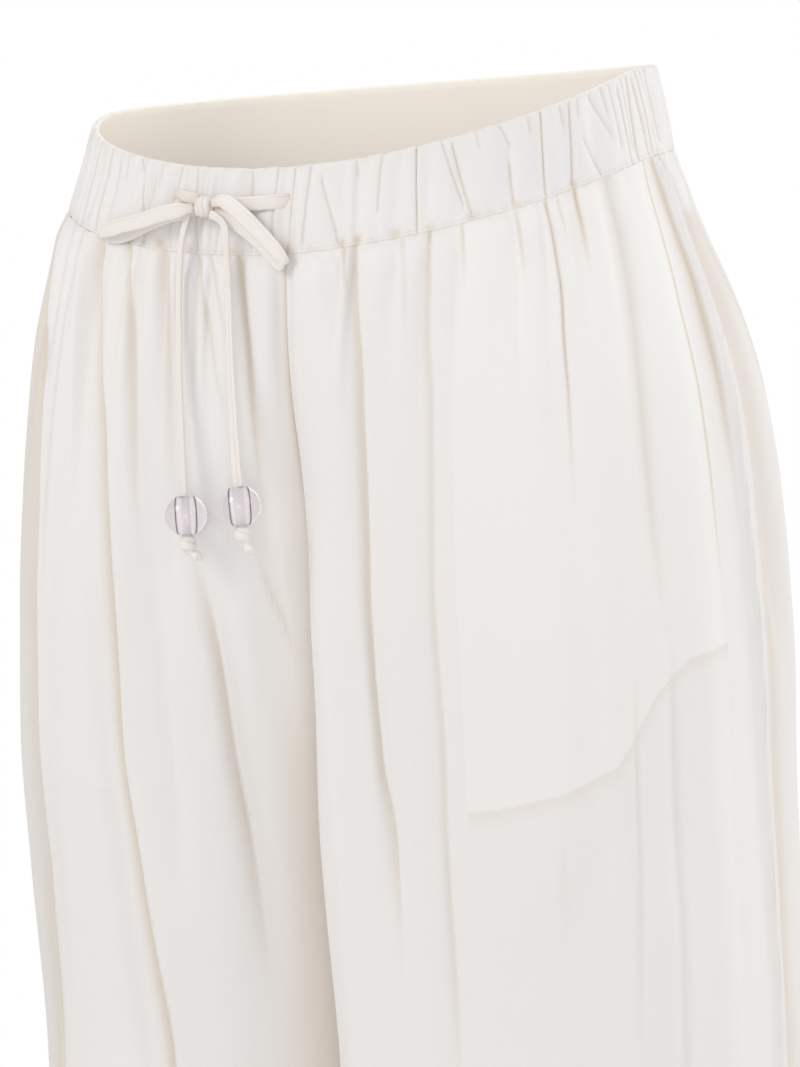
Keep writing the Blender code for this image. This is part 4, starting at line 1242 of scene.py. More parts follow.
def row_length(points: Array) -> Array:
    """How far along its row each point of a grid lies.

    Args:
        points: rows by columns by three.

    Returns:
        The level distance from the row's first point.
    """
    steps = np.linalg.norm(np.diff(points[..., :2], axis=1), axis=2)
    start = np.zeros((len(points), 1))
    return np.concatenate([start, np.cumsum(steps, axis=1)], axis=1)


@dataclass(frozen=True)
class PanelCut:
    """What sets one cut panel apart from the others, with its flat size."""

    name: str
    side: Side
    face: Face
    gathers: tuple[Gather, ...]
    folds: tuple[Fold, ...]
    creases: tuple[Crease, ...]
    lines: tuple[PanelLine, ...]
    seed: int
    flat_width: float
    flat_length: float
    flat_area: float


@dataclass(frozen=True)
class Ripples:
    """Uneven ripples: their height, their pitch and how soon they fade."""

    height: float
    pitch: float
    fade: float


@dataclass
class PanelSurface:
    """One panel's cloth as a surface of the share across and the depth below the band.

    The lines' names say where they start, drift and end, and the pinches' are
    for the band's creases: a sharp groove in a softer one, with the reach of
    their ends and of the end of their painted shade.
    """

    form: LegForm
    cut: PanelCut
    crest_flatness: float = 3.0
    seam_rise: float = 0.22
    seam_ease: float = 4.0
    swell: float = 16.0
    seam_relief: float = 0.35
    puckers: tuple[Ripples, ...] = (Ripples(0.42, 9.0, 11.0), Ripples(0.55, 21.0, 34.0))
    pucker_drift: float = 0.35
    pucker_drift_pitch: float = 70.0
    fold_fade: float = 60.0
    centre_calm: float = 10.0
    edge_calm: float = 12.0
    pocket_top: float = -102.0
    pocket_bottom: float = -276.0
    pocket_lip: float = 1.2
    pocket_lip_fade: float = 25.0
    pocket_lip_width: float = 9.0
    band_rise: float = 0.55
    band_belly: float = 0.7
    band_fan: Ripples = Ripples(0.40, 7.5, 7.0)
    band_flush: float = 2.5
    band_swell: float = 0.35
    band_swell_pitch: tuple[float, float] = (26.0, 60.0)
    fan_sway: float = 0.25
    fan_sway_pitch: float = 9.0
    # Painted shade in the fan ripples' troughs, and along the band's lower seam.
    fan_shade: float = 0.20
    fan_shade_reach: float = 3.0
    seam_shade: float = 0.16
    seam_shade_reach: float = 0.7
    seam_shade_pitch: float = 5.0
    pinch_power: float = 1.3
    pinch_sharp: float = 0.65
    pinch_soft: float = 0.55
    pinch_spread: float = 4.0
    pinch_ends: tuple[float, float, float] = (3.0, 5.0, 2.0)
    pinch_at_seam: float = 0.3
    line_power: float = 1.6
    line_drift: float = 0.35
    line_drift_pitch: float = 110.0
    line_lead: float = 6.0
    line_trail: float = 4.0
    line_end_share: float = 0.8
    line_start: float = 12.0
    line_end: float = 110.0
    low_start: float = -150.0
    low_line_start: float = 70.0

    def phase(self, across: Array) -> Array:
        """Turn a share across into a count of gathers.

        Args:
            across: shares from the side seam to the centre.

        Returns:
            How many gathers lie before each place, with the part of the one there.
        """
        share = np.array([row.share for row in self.cut.gathers])
        edges = np.concatenate([[0.0], np.cumsum(share)]) / share.sum()
        return np.interp(across, edges, np.arange(len(edges)))

    def column(self, name: str, phase: Array) -> Array:
        """Read one column of the gathers' table at each place."""
        index = np.clip(phase.astype(int), 0, len(self.cut.gathers) - 1)
        return np.array([getattr(row, name) for row in self.cut.gathers])[index]

    def wave(self, phase: Array) -> Array:
        """Height of the gathers at full swell: flat crests and narrow troughs.

        Each gather rises by its rise times 1 - |cos|^n of its own phase.
        """
        return self.column("rise", phase) * (1.0 - np.abs(np.cos(math.pi * phase)) ** self.crest_flatness)

    def rim(self, across: Array) -> Array:
        """Height of the band's top edge over each share across."""
        level = np.full_like(across, -CUT.band_height)
        return rim_height(self.form.points(self.cut.face, across, level), self.form.side)

    def height_at(self, across: Array, depth: Array) -> Array:
        """Height of a row, tilted like the rim above and level lower down."""
        keep = 1.0 - ease(depth / CUT.tilt_fade)
        return -CUT.band_height - CUT.seam_gap - depth + self.rim(across) * keep

    def gather_lift(self, across: Array, depth: Array) -> Array:
        """Height of the gathers, which fade out down the panel.

        Args:
            across: the share across at each place.
            depth: how far each place is below the band.

        Returns:
            The height at each place.
        """
        phase = self.phase(across)
        swell = self.seam_rise + (1 - self.seam_rise) * ease(depth / self.swell)
        return self.wave(phase) * swell * (1.0 - ease(depth / self.column("run", phase)))

    def pucker(self, along: Array, depth: Array) -> Array:
        """Small uneven ripples that swell just below the band's seam and soon fade.

        Args:
            along: how far along its row each place is.
            depth: how far it is below the band.

        Returns:
            The height at each place.
        """
        drift = self.pucker_drift * line_noise(depth / self.pucker_drift_pitch, self.cut.seed + 5)
        return ease(depth / self.seam_ease) * sum(
            row.height * line_noise(along / row.pitch + drift, self.cut.seed + index, 2)
            * np.exp(-depth / row.fade) for index, row in enumerate(self.puckers))

    def fold_lift(self, across: Array, height: Array, width: Array) -> Array:
        """Sum of the panel's long folds, each a leaning bell curve across.

        Args:
            across: the share across at each place.
            height: the height there.
            width: how wide the panel is there.

        Returns:
            The folds' height at each place.
        """
        total = np.zeros_like(height)
        for fold in self.cut.folds:
            t = np.clip((fold.top - height) / (fold.top - fold.bottom), 0, 1)
            line = fold.across_top + (fold.across_bottom - fold.across_top) * t
            line = line + fold.bend * 4 * t * (1 - t)
            away = (across - line) * width
            flank = np.where(away > 0, 1.0 - fold.lean, 1.0 + fold.lean)
            start = ease((fold.top - height) / self.fold_fade)
            end = 1.0
            if fold.bottom > CUT.hem_height:
                end = ease((height - fold.bottom) / self.fold_fade)
            total = total + fold.rise * bell(away, fold.width * flank) * start * end
        return total

    def line_relief(self, across: Array, height: Array, width: Array
                    ) -> tuple[Array, Array]:
        """Height and painted shade of the panel's fold lines.

        Args:
            across: rows of shares from the side seam.
            height: the height of each place.
            width: the width of each row in millimetres.

        Returns:
            The height and the painted shade from 0 to 1.
        """
        lift = np.zeros_like(height)
        tone = np.zeros_like(height)
        for index, line in enumerate(self.cut.lines):
            heights, shares = zip(*line.path)
            top, bottom = heights[0], heights[-1]
            at_edge = min(shares) in (0.0, 1.0) or shares[0] < 0.01
            drift = 0.0 if at_edge else self.line_drift * line_noise(
                height / self.line_drift_pitch, self.cut.seed + index, 2)
            away = (across - smooth_value(heights, shares, height)) * width + drift
            flank = np.where(away > 0, line.centre_flank, line.seam_flank)
            slow = self.line_start if top > self.low_start else self.low_line_start
            start = ease((top + self.line_lead - height) / slow)
            run = min(self.line_end, self.line_end_share * (top - bottom))
            end = ease((height - bottom + self.line_trail) / run)
            weight = bell(away, flank, self.line_power) * start * end
            lift = lift - line.depth * weight
            tone = np.maximum(tone, line.tone * weight)
        return lift, tone

    def lip(self, height: Array, away: Array) -> Array:
        """Rise of the pocket opening's edge along the front's side seam.

        Args:
            height: the height of each place.
            away: how far it is from the side seam.

        Returns:
            The rise at each place.
        """
        start = ease((self.pocket_top - height) / self.pocket_lip_fade)
        end = ease((height - self.pocket_bottom) / self.pocket_lip_fade)
        return self.pocket_lip * start * end * bell(away, self.pocket_lip_width)

    def points(self, across: Array, depth: Array) -> tuple[Array, Array]:
        """Give the cloth's outer points below the band.

        Args:
            across: rows of shares from the side seam.
            depth: distances down from the band's seam, of the same shape.

        Returns:
            Points as if the panel were on the left, and their painted shade.
        """
        height = self.height_at(across, depth)
        plain = self.form.points(self.cut.face, across, height)
        along = row_length(plain)
        width = along[:, -1:]
        lift = self.gather_lift(across, depth) + self.pucker(along, depth)
        lift = lift + self.fold_lift(across, height, width)
        line_lift, tone = self.line_relief(across, height, width)
        lift = lift + line_lift * (self.seam_relief + (1 - self.seam_relief) * ease(depth / self.seam_ease))
        calm = ease(across * width / self.edge_calm) * ease((1 - across) * width / self.edge_calm)
        lift = lift * calm * ease(plain[..., 0] / self.centre_calm)
        if self.cut.face is Face.FRONT:
            lift = lift + self.lip(height, across * width)
        return plain + outward(plain, self.cut.face) * lift[..., None], tone

    def band_relief(self, across: Array, below: Array, along: Array
                    ) -> tuple[Array, Array]:
        """Height and painted shade of the band's outer side.

        Args:
            across: rows of shares from the side seam.
            below: distances down from the rim, of the same shape.
            along: distances from the side seam in millimetres.

        Returns:
            The height and the painted shade from 0 to 1.
        """
        seed = self.cut.seed
        above = CUT.band_height - below
        belly = np.sin(math.pi * np.clip(below / CUT.band_height, 0, 1)) ** self.band_belly
        edge = np.minimum(below, above)
        lift = self.wave(self.phase(across)) * (self.seam_rise + self.band_rise * belly)
        sway = self.fan_sway * np.sin(below / self.fan_sway_pitch)
        fan = line_noise(along / self.band_fan.pitch + sway, seed + 9, 2)
        flush = ease(above / self.band_flush)
        lift = lift + self.band_fan.height * fan * np.exp(-edge / self.band_fan.fade) * flush
        wide, tall = self.band_swell_pitch
        lift = lift + self.band_swell * wave_noise(along / wide, below / tall, seed + 11, 2) * belly
        # Painted shade in the fan ripples' troughs near the rim and the seam, and along the seam.
        tone = self.fan_shade * np.clip(-fan, 0, 1) * np.exp(-edge / self.fan_shade_reach)
        uneven = 1.0 + line_noise(along / self.seam_shade_pitch, seed + 2)
        tone = tone + self.seam_shade * np.exp(-above / self.seam_shade_reach) * uneven
        width = along.max()
        for crease in self.cut.creases:
            t = (below - crease.top) / (crease.bottom - crease.top)
            line = crease.across_top + (crease.across_bottom - crease.across_top) * np.clip(t, 0, 1)
            beyond = np.maximum(np.maximum(crease.top - below, below - crease.bottom), 0.0)
            away = (across - line) * width
            sharp_end, soft_end, tone_end = (bell(beyond, reach) for reach in self.pinch_ends)
            sharp = bell(away, crease.width, self.pinch_power) * sharp_end
            soft = bell(away, self.pinch_spread * crease.width) * soft_end
            depth = crease.depth * (self.pinch_sharp * sharp + self.pinch_soft * soft)
            lift = lift - depth * (self.pinch_at_seam + (1 - self.pinch_at_seam) * flush)
            # Painted shade in the crease.
            tone = np.maximum(tone, crease.tone * bell(away, crease.width) * tone_end)
        return lift, tone


def hollow_shade(points: Array, reach: int, depth: float) -> Array:
    """How far each point of a grid lies below its neighbours, from 0 to 1.

    The mean of the points a few columns to each side, less the point itself,
    is a trough where it points outwards, and it is painted as shade.

    Args:
        points: the grid's points.
        reach: how many columns to each side.
        depth: the depth in millimetres that counts as 1.

    Returns:
        The tone at each point.
    """
    padded = np.pad(points, ((0, 0), (reach, reach), (0, 0)), mode="edge")
    rise = (padded[:, 2 * reach:] + padded[:, :-2 * reach]) / 2 - points
    normal = np.cross(np.gradient(points, axis=0), np.gradient(points, axis=1))
    normal /= np.maximum(np.linalg.norm(normal, axis=-1, keepdims=True), 1e-9)
    signed = np.sum(rise * normal, axis=-1)
    middle = len(points) // 2
    if np.sum(normal[middle] * (points[middle] - points.mean(axis=(0, 1)))) < 0:
        signed = -signed
    return np.clip(signed / depth, 0, 1)


@dataclass
class Trousers:
    """The cloth: four panels, two pocket bags and the waistband.

    crease_shade is the painted shade of a trough low down, what the band adds
    to it, and over which depth that fades. A pocket bag's mark goes from 0 to 1
    over bag_span, and the painted light between the legs starts at the share
    lit_start across and below lit_top.
    """

    cloth: Material
    band_cloth: Material
    band_columns: int = 400
    edge_share: float = 0.0003
    crease_reach: int = 4
    crease_depth: float = 0.8
    crease_shade: tuple[float, float, float] = (0.10, 0.40, 10.0)
    # Painted shade along the panel's top, just below the band's seam.
    seam_shade: Ripples = Ripples(0.22, 6.0, 0.8)
    ripple_fade: float = 3.0
    band_calm: float = 6.0
    pocket_rows: int = 61
    pocket_across: float = 0.54
    pocket_start: float = 14.0
    pocket_wall: float = 1.5
    bag_span: float = 60.0
    lit_start: float = 0.70
    lit_top: float = -95.0
    lit_fade: float = 130.0
    surfaces: dict[tuple[Side, Face], PanelSurface] = field(default_factory=dict)

    columns: ClassVar[dict[Face, int]] = {Face.FRONT: 400, Face.BACK: 320}
    pocket_gap: ClassVar[dict[Side, float]] = {Side.LEFT: 2.2, Side.RIGHT: 5.5}
    # How strong the painted bag light and shadow, and the painted light between the legs, are on each side.
    bag_shows: ClassVar[dict[Side, float]] = {Side.LEFT: 0.52, Side.RIGHT: 0.1}
    lit_shows: ClassVar[dict[Side, float]] = {Side.LEFT: 0.25, Side.RIGHT: 1.0}
    rim_ripple: ClassVar[dict[Face, float]] = {Face.FRONT: 0.9, Face.BACK: 0.12}
    pocket_edge: ClassVar[Path] = (
        (0.0, -272.0), (0.19, -278.0), (0.33, -294.0), (0.49, -330.0),
        (0.67, -343.0), (0.91, -352.0), (1.0, -353.0),
    )
    cuts: ClassVar[tuple[PanelCut, ...]] = (
        PanelCut("front_left", Side.LEFT, Face.FRONT, FRONT_LEFT_GATHERS, FRONT_LEFT_FOLDS,
                 FRONT_LEFT_CREASES, FRONT_LEFT_LINES, 11, 0.36, 1.01, 0.30),
        PanelCut("back_left", Side.LEFT, Face.BACK, BACK_GATHERS, BACK_FOLDS,
                 BACK_CREASES, BACK_LINES, 23, 0.42, 1.01, 0.37),
        PanelCut("front_right", Side.RIGHT, Face.FRONT, FRONT_RIGHT_GATHERS, FRONT_RIGHT_FOLDS,
                 FRONT_RIGHT_CREASES, FRONT_RIGHT_LINES, 37, 0.36, 1.01, 0.30),
        PanelCut("back_right", Side.RIGHT, Face.BACK, BACK_GATHERS[::-1], BACK_FOLDS,
                 BACK_CREASES[::-1], BACK_LINES, 51, 0.42, 1.01, 0.37),
    )

    def __post_init__(self) -> None:
        """Work out both legs' forms."""
        left = LegForm(Side.LEFT, LEFT_SECTIONS)
        right = LegForm(Side.RIGHT, RIGHT_SECTIONS)
        join_centre_seam(left, right)
        forms = {Side.LEFT: left, Side.RIGHT: right}
        for cut in self.cuts:
            self.surfaces[(cut.side, cut.face)] = PanelSurface(forms[cut.side], cut)

    def build(self) -> None:
        """Build every piece of cloth."""
        for surface in self.surfaces.values():
            self.build_panel(surface)
        self.build_waistband()
        for side in Side:
            self.build_pocket(side)

    def panel_depths(self) -> Array:
        """Depths of the fine rows: close together by the band, further apart below."""
        return np.concatenate([[0.0, 0.08], np.arange(1, 12, 1.0), np.arange(12, 60, 2.5),
                               np.arange(60, 300, 7.5), np.arange(300, 520, 9.0), np.linspace(525, 987, 20)])

    def front_marks(self, side: Side, across: Array, points: Array) -> dict[str, Array]:
        """Marks of a pocket bag's edges, and of the painted light between the legs.

        Args:
            side: the leg.
            across: rows of shares from the side seam.
            points: the cloth's points.

        Returns:
            How much the bag's painted light and painted shadow show, how far each
            place lies above its lower edge and beside its inner one, each 0.5 on the
            edge, and the painted light between the legs.
        """
        height = points[..., 2]
        width = row_length(points)[:, -1:]
        bottom = np.interp(across / self.pocket_across, *zip(*self.pocket_edge))
        beside = np.clip((across - self.lit_start) / (1.0 - self.lit_start), 0, 1)
        return {
            "bag": np.full_like(across, self.bag_shows[side]),
            "bag_low": 0.5 + (height - bottom) / self.bag_span,
            "bag_in": 0.5 + (self.pocket_across - across) * width / self.bag_span,
            "painted_light": self.lit_shows[side] * (beside**1.5 * ease((self.lit_top - height) / self.lit_fade)),
        }

    def build_panel(self, surface: PanelSurface) -> None:
        """Build one panel as a cloth wall.

        Args:
            surface: the panel's surface.
        """
        cut = surface.cut
        inner = np.linspace(self.edge_share, 1 - self.edge_share, self.columns[cut.face])
        across, depth = np.meshgrid(np.concatenate([[0.0], inner, [1.0]]), self.panel_depths())
        points, tone = surface.points(across, depth)
        along = row_length(points)
        # Painted shade in troughs and along the band's seam, with the fold lines' painted shade.
        painted_shade = hollow_shade(points, self.crease_reach, self.crease_depth)
        low, more, fade = self.crease_shade
        painted_shade *= low + more * np.exp(-depth / fade)
        uneven = 1.0 + line_noise(along / self.seam_shade.pitch, cut.seed + 3)
        seam = self.seam_shade.height * np.exp(-depth / self.seam_shade.fade) * uneven
        marks = {"painted_shade": np.maximum(tone, painted_shade + seam)}
        if cut.face is Face.FRONT:
            marks |= self.front_marks(cut.side, across, points)
        points[..., 0] *= cut.side.value
        reverse = (cut.face is Face.BACK) != (cut.side is Side.RIGHT)
        uv = np.stack([along, depth], axis=-1)
        panel = grid_object(cut.name + "_cloth", points, self.cloth, uv, marks, reverse)
        thicken(panel, CUT.cloth_wall)
        settle(panel, cut.name)

    def band_section(self) -> tuple[Array, Array, Array]:
        """Section of the casing, from the rim down the outer side and back up the inner one.

        Returns:
            Distances below the rim and inwards, and how much of the relief a
            place has: 1 on the outer side, 0 on the inner.
        """
        height = CUT.band_height
        wall = CUT.band_wall
        outer = np.concatenate([np.linspace(0.6, 6, 7), np.linspace(8, 36, 15),
                                np.linspace(38, height - 0.6, 5), [height - 0.08, height]])
        turn = np.linspace(0, math.pi, 7)[1:-1]
        below = [outer, np.full(4, height), np.linspace(height, 1.0, 12), 1.0 - np.sin(turn)]
        inset = [np.zeros(len(outer)), np.linspace(0.6, wall - 0.4, 4), np.full(12, wall),
                 (1 - np.cos(math.pi - turn)) * wall / 2]
        relief = [np.ones(len(outer)), np.linspace(0.8, 0, 4), np.zeros(12), np.linspace(0.1, 0.9, len(turn))]
        return np.concatenate(below), np.concatenate(inset), np.concatenate(relief)

    def band_half(self, side: Side) -> Array:
        """One side of the casing, from the front's middle to the back's.

        Args:
            side: the wearer's side.

        Returns:
            Rows down the section of x, y, z, the distance along, the painted shade
            and how far inside a place is.
        """
        below, inset, is_outer = (values[:, None] for values in self.band_section())
        parts = []
        for face in Face:
            surface = self.surfaces[(side, face)]
            across, depth = np.broadcast_arrays(np.linspace(0, 1, self.band_columns), below)
            plain = surface.form.points(face, across, surface.rim(across) - depth)
            along = row_length(plain)
            relief, tone = surface.band_relief(across, depth, along)
            calm = ease(plain[..., 0] / self.band_calm)
            cloth = plain + outward(plain, face) * ((relief * calm) * is_outer - inset)[..., None]
            near_rim = self.rim_ripple[face] * is_outer * np.exp(-depth / self.ripple_fade)
            cloth[..., 2] += near_rim * relief * calm
            inside = np.broadcast_to(1 - is_outer, tone.shape)
            layers = np.stack([along, tone * is_outer, inside], axis=-1)
            parts.append(np.concatenate([cloth, layers], axis=-1))
        front, back = parts
        front[..., 3] *= -1
        half = np.concatenate([front[:, ::-1], back[:, 1:]], axis=1)
        half[:, [0, -1], 0] = 0.0
        half[..., 0] *= side.value
        return half

    def build_waistband(self) -> None:
        """Build the casing as one closed ring of cloth, gathered outside and plain inside."""
        left, right = (self.band_half(side) for side in Side)
        ring = np.concatenate([left, right[:, ::-1][:, 1:-1]], axis=1)
        below = self.band_section()[0][:, None]
        uv = np.stack([ring[..., 3], np.broadcast_to(below, ring.shape[:2])], axis=-1)
        marks = {"painted_shade": ring[..., 4], "inside": ring[..., 5]}
        band = grid_object("waistband_cloth", ring[..., :3], self.band_cloth, uv, marks,
                           round_columns=True, round_rows=True)
        mend(band)
        settle(band, "waistband")

    def build_pocket(self, side: Side) -> None:
        """Hang a pocket bag inside a front panel, from its side seam.

        Args:
            side: the side that it hangs on.
        """
        surface = self.surfaces[(side, Face.FRONT)]
        even = np.linspace(0, 1, self.pocket_rows)
        share, t = np.meshgrid(even, even)
        across = share * self.pocket_across
        start = surface.height_at(across, np.full_like(across, self.pocket_start))
        height = start + (np.interp(share, *zip(*self.pocket_edge)) - start) * t
        plain = surface.form.points(Face.FRONT, across, height)
        gap = self.pocket_gap[side]
        at_seam = CUT.seam_gap + 0.1
        inset = np.where(share > 0.1, gap, at_seam + (gap - CUT.seam_gap - 0.1) * share / 0.1)
        points = plain - outward(plain, Face.FRONT) * (CUT.cloth_wall + inset)[..., None]
        uv = np.stack([row_length(points), -height], axis=-1)
        points[..., 0] *= side.value
        name = "pocket_bag_" + side.name.lower()
        bag = grid_object(name + "_cloth", points, self.cloth, uv, reverse=side is Side.RIGHT)
        thicken(bag, self.pocket_wall)
        settle(bag, name)


def smooth_route(points: Path, steps: int) -> Array:
    """A smooth curve through given points, by Catmull and Rom's rule.

    Between two points it is the cubic whose slope at each point is half the
    way from the point before to the point after.

    Args:
        points: the route's points.
        steps: how many short steps between two of them.

    Returns:
        The curve's points.
    """
    p = np.array(points, float)
    ends = np.concatenate([[2 * p[0] - p[1]], p, [2 * p[-1] - p[-2]]])
    t = np.linspace(0, 1, steps, endpoint=False)[None, :, None]
    a, b, c, d = (ends[k:len(ends) - 3 + k, None, :] for k in range(4))
    spans = 0.5 * (2 * b + (c - a) * t + (2 * a - 5 * b + 4 * c - d) * t**2
                   + (3 * b - a - 3 * c + d) * t**3)
    return np.concatenate([spans.reshape(-1, p.shape[1]), p[-1:]])


def along_route(route: Array) -> Array:
    """Unit directions along a route."""
    step = np.gradient(route, axis=0)
    return step / np.linalg.norm(step, axis=1, keepdims=True)


def distances(route: Array) -> Array:
    """How far along a route each of its points lies."""
    return np.concatenate([[0.0], np.cumsum(np.linalg.norm(np.diff(route, axis=0), axis=1))])


def round_rings(line: Array, first: Array, second: Array, a: Array,
                b: Array) -> Array:
    """Rings round a line: each point is a along the first direction and b along the second.

    Args:
        line: the line's points.
        first: a direction at each of them.
        second: another direction at each of them.
        a: rows of distances along the first direction.
        b: rows of distances along the second.

    Returns:
        Rings by points by three.
    """
    return line[:, None, :] + first[:, None, :] * a[..., None] + second[:, None, :] * b[..., None]


def lofted(name: str, rings: Array, material: Material,
           along: Array, painted_shade: Array) -> Object:
    """Close rings of points into one solid with rounded ends.

    Each end shrinks to its ring's middle in three rings on a quarter circle.

    Args:
        name: the piece's name.
        rings: rings by points by three.
        material: its finish.
        along: distance along for each ring, in millimetres.
        painted_shade: painted shade for each point of the rings.

    Returns:
        The object.
    """
    caps = []
    for end, step in ((0, rings[0] - rings[1]), (-1, rings[-1] - rings[-2])):
        middle = rings[end].mean(axis=0)
        spokes = rings[end] - middle
        out = step.mean(axis=0)
        out /= max(np.linalg.norm(out), 1e-9)
        reach = np.linalg.norm(spokes, axis=1).min()
        cap = [middle + spokes * math.cos(a) + out * reach * math.sin(a) for a in np.radians([30, 60])]
        caps.append(np.array([*cap, middle + out * reach + spokes * 0.02]))
    whole = np.concatenate([caps[0][::-1], rings, caps[1]])
    tone = np.pad(painted_shade, ((3, 3), (0, 0)), mode="edge")
    place = np.pad(along, 3, mode="edge")
    around = np.linspace(0, 8, rings.shape[1])
    uv = np.stack(np.broadcast_arrays(around[None, :], place[:, None]), axis=-1)
    thing = grid_object(name, whole, material, uv, {"painted_shade": tone}, round_columns=True)
    mend(thing, ring=rings.shape[1])
    return thing


@dataclass(frozen=True)
class Band:
    """A flat stretch of the drawstring, with the side its width lies to."""

    name: str
    spread: Triple
    width: float
    free: bool
    route: Path


@dataclass(frozen=True)
class Tail:
    """A free end of the drawstring with its bead and the knot below it.

    widths is the rolled strap's width at some shares of its length.
    """

    side: str
    widths: Path
    bead: Triple
    lean: Triple
    route: Path
    end_knot: Path


FLAT_BANDS = (
    Band("string_exit_side", (0.0, 0.0, 1.0), 5.6, False, (
        (-64.5, -102.6, -51.9), (-55.0, -107.0, -53.3), (-48.9, -107.2, -54.4),
    )),
    Band("string_exit_centre", (0.0, 0.0, 1.0), 7.5, False, (
        (0.5, -107.6, -54.6), (-12.9, -109.6, -55.9), (-27.4, -108.8, -56.6), (-39.1, -107.9, -57.4),
    )),
    Band("bow_loop_side", (-0.1, 0.0, 1.0), 8.0, True, (
        (-49.2, -113.6, -58.6), (-55.5, -115.0, -59.7), (-66.8, -114.3, -62.0), (-79.6, -110.0, -65.4),
        (-93.8, -104.0, -68.2), (-103.9, -98.5, -70.4), (-109.3, -94.5, -71.9), (-106.1, -92.6, -73.6),
        (-94.6, -97.8, -72.6), (-80.0, -102.7, -67.6), (-68.7, -105.6, -63.5), (-58.1, -107.0, -61.0),
        (-49.2, -108.4, -60.2),
    )),
    Band("bow_loop_centre", (0.64, 0.0, 0.77), 8.0, True, (
        (-37.9, -112.8, -55.9), (-32.5, -113.5, -54.9), (-26.8, -114.5, -57.4), (-18.8, -116.0, -63.0),
        (-8.4, -116.5, -72.2), (-1.4, -116.2, -79.8), (1.6, -114.4, -84.8), (-1.6, -112.6, -86.0),
        (-10.4, -111.8, -77.0), (-20.4, -111.6, -69.0), (-30.0, -111.0, -63.2), (-37.1, -110.3, -60.8),
    )),
)

TAILS = (
    Tail("side", ((0.0, 3.8), (0.2, 3.4), (0.8, 3.2), (0.88, 3.0), (1.0, 3.0)),
         (-44.5, -130.5, -210.3), (0.09, -0.05, -1.0), (
        (-52.9, -111.2, -62.2), (-53.6, -111.2, -65.0), (-54.6, -111.5, -69.5), (-55.3, -112.6, -75.5),
        (-55.5, -114.0, -84.0), (-54.9, -116.6, -104.3), (-51.8, -122.4, -143.8), (-48.0, -127.0, -178.3),
        (-45.3, -130.0, -201.4), (-44.5, -130.5, -210.3), (-43.6, -131.0, -219.8),
    ), (
        (-43.5, -131.0, -220.3), (-43.0, -131.0, -225.0), (-41.6, -130.6, -228.6),
        (-37.6, -129.4, -231.0),
    )),
    Tail("centre", ((0.0, 4.4), (0.12, 3.4), (0.4, 4.2), (0.75, 6.2), (0.865, 6.6), (0.90, 4.6), (1.0, 3.6)),
         (-15.2, -129.9, -205.0), (0.13, -0.07, -1.0), (
        (-38.4, -113.9, -61.9), (-35.5, -114.7, -62.8), (-31.6, -114.8, -66.0), (-29.9, -114.8, -71.0),
        (-28.8, -115.6, -85.0), (-27.2, -117.4, -103.9), (-23.9, -121.8, -143.2), (-19.7, -126.2, -177.6),
        (-16.6, -129.2, -196.2), (-15.2, -129.9, -205.0), (-13.9, -130.6, -214.5),
    ), (
        (-13.8, -130.7, -215.0), (-13.2, -130.8, -219.6), (-12.0, -130.4, -223.4), (-9.2, -129.2, -227.4),
    )),
)

# Share along an end knot, and its radius there.
END_KNOT_SHAPE = (
    (0.0, 2.8), (0.06, 3.6), (0.28, 4.2), (0.45, 3.9), (0.6, 2.6), (0.72, 1.9), (0.9, 2.7), (1.0, 1.8),
)


def power(value: Array, exponent: float) -> Array:
    """A power of a value that keeps its sign."""
    return np.sign(value) * np.abs(value) ** exponent


def seed_of(name: str) -> int:
    """A seed for a piece's ripples from the letters of its name."""
    return sum(ord(letter) for letter in name)


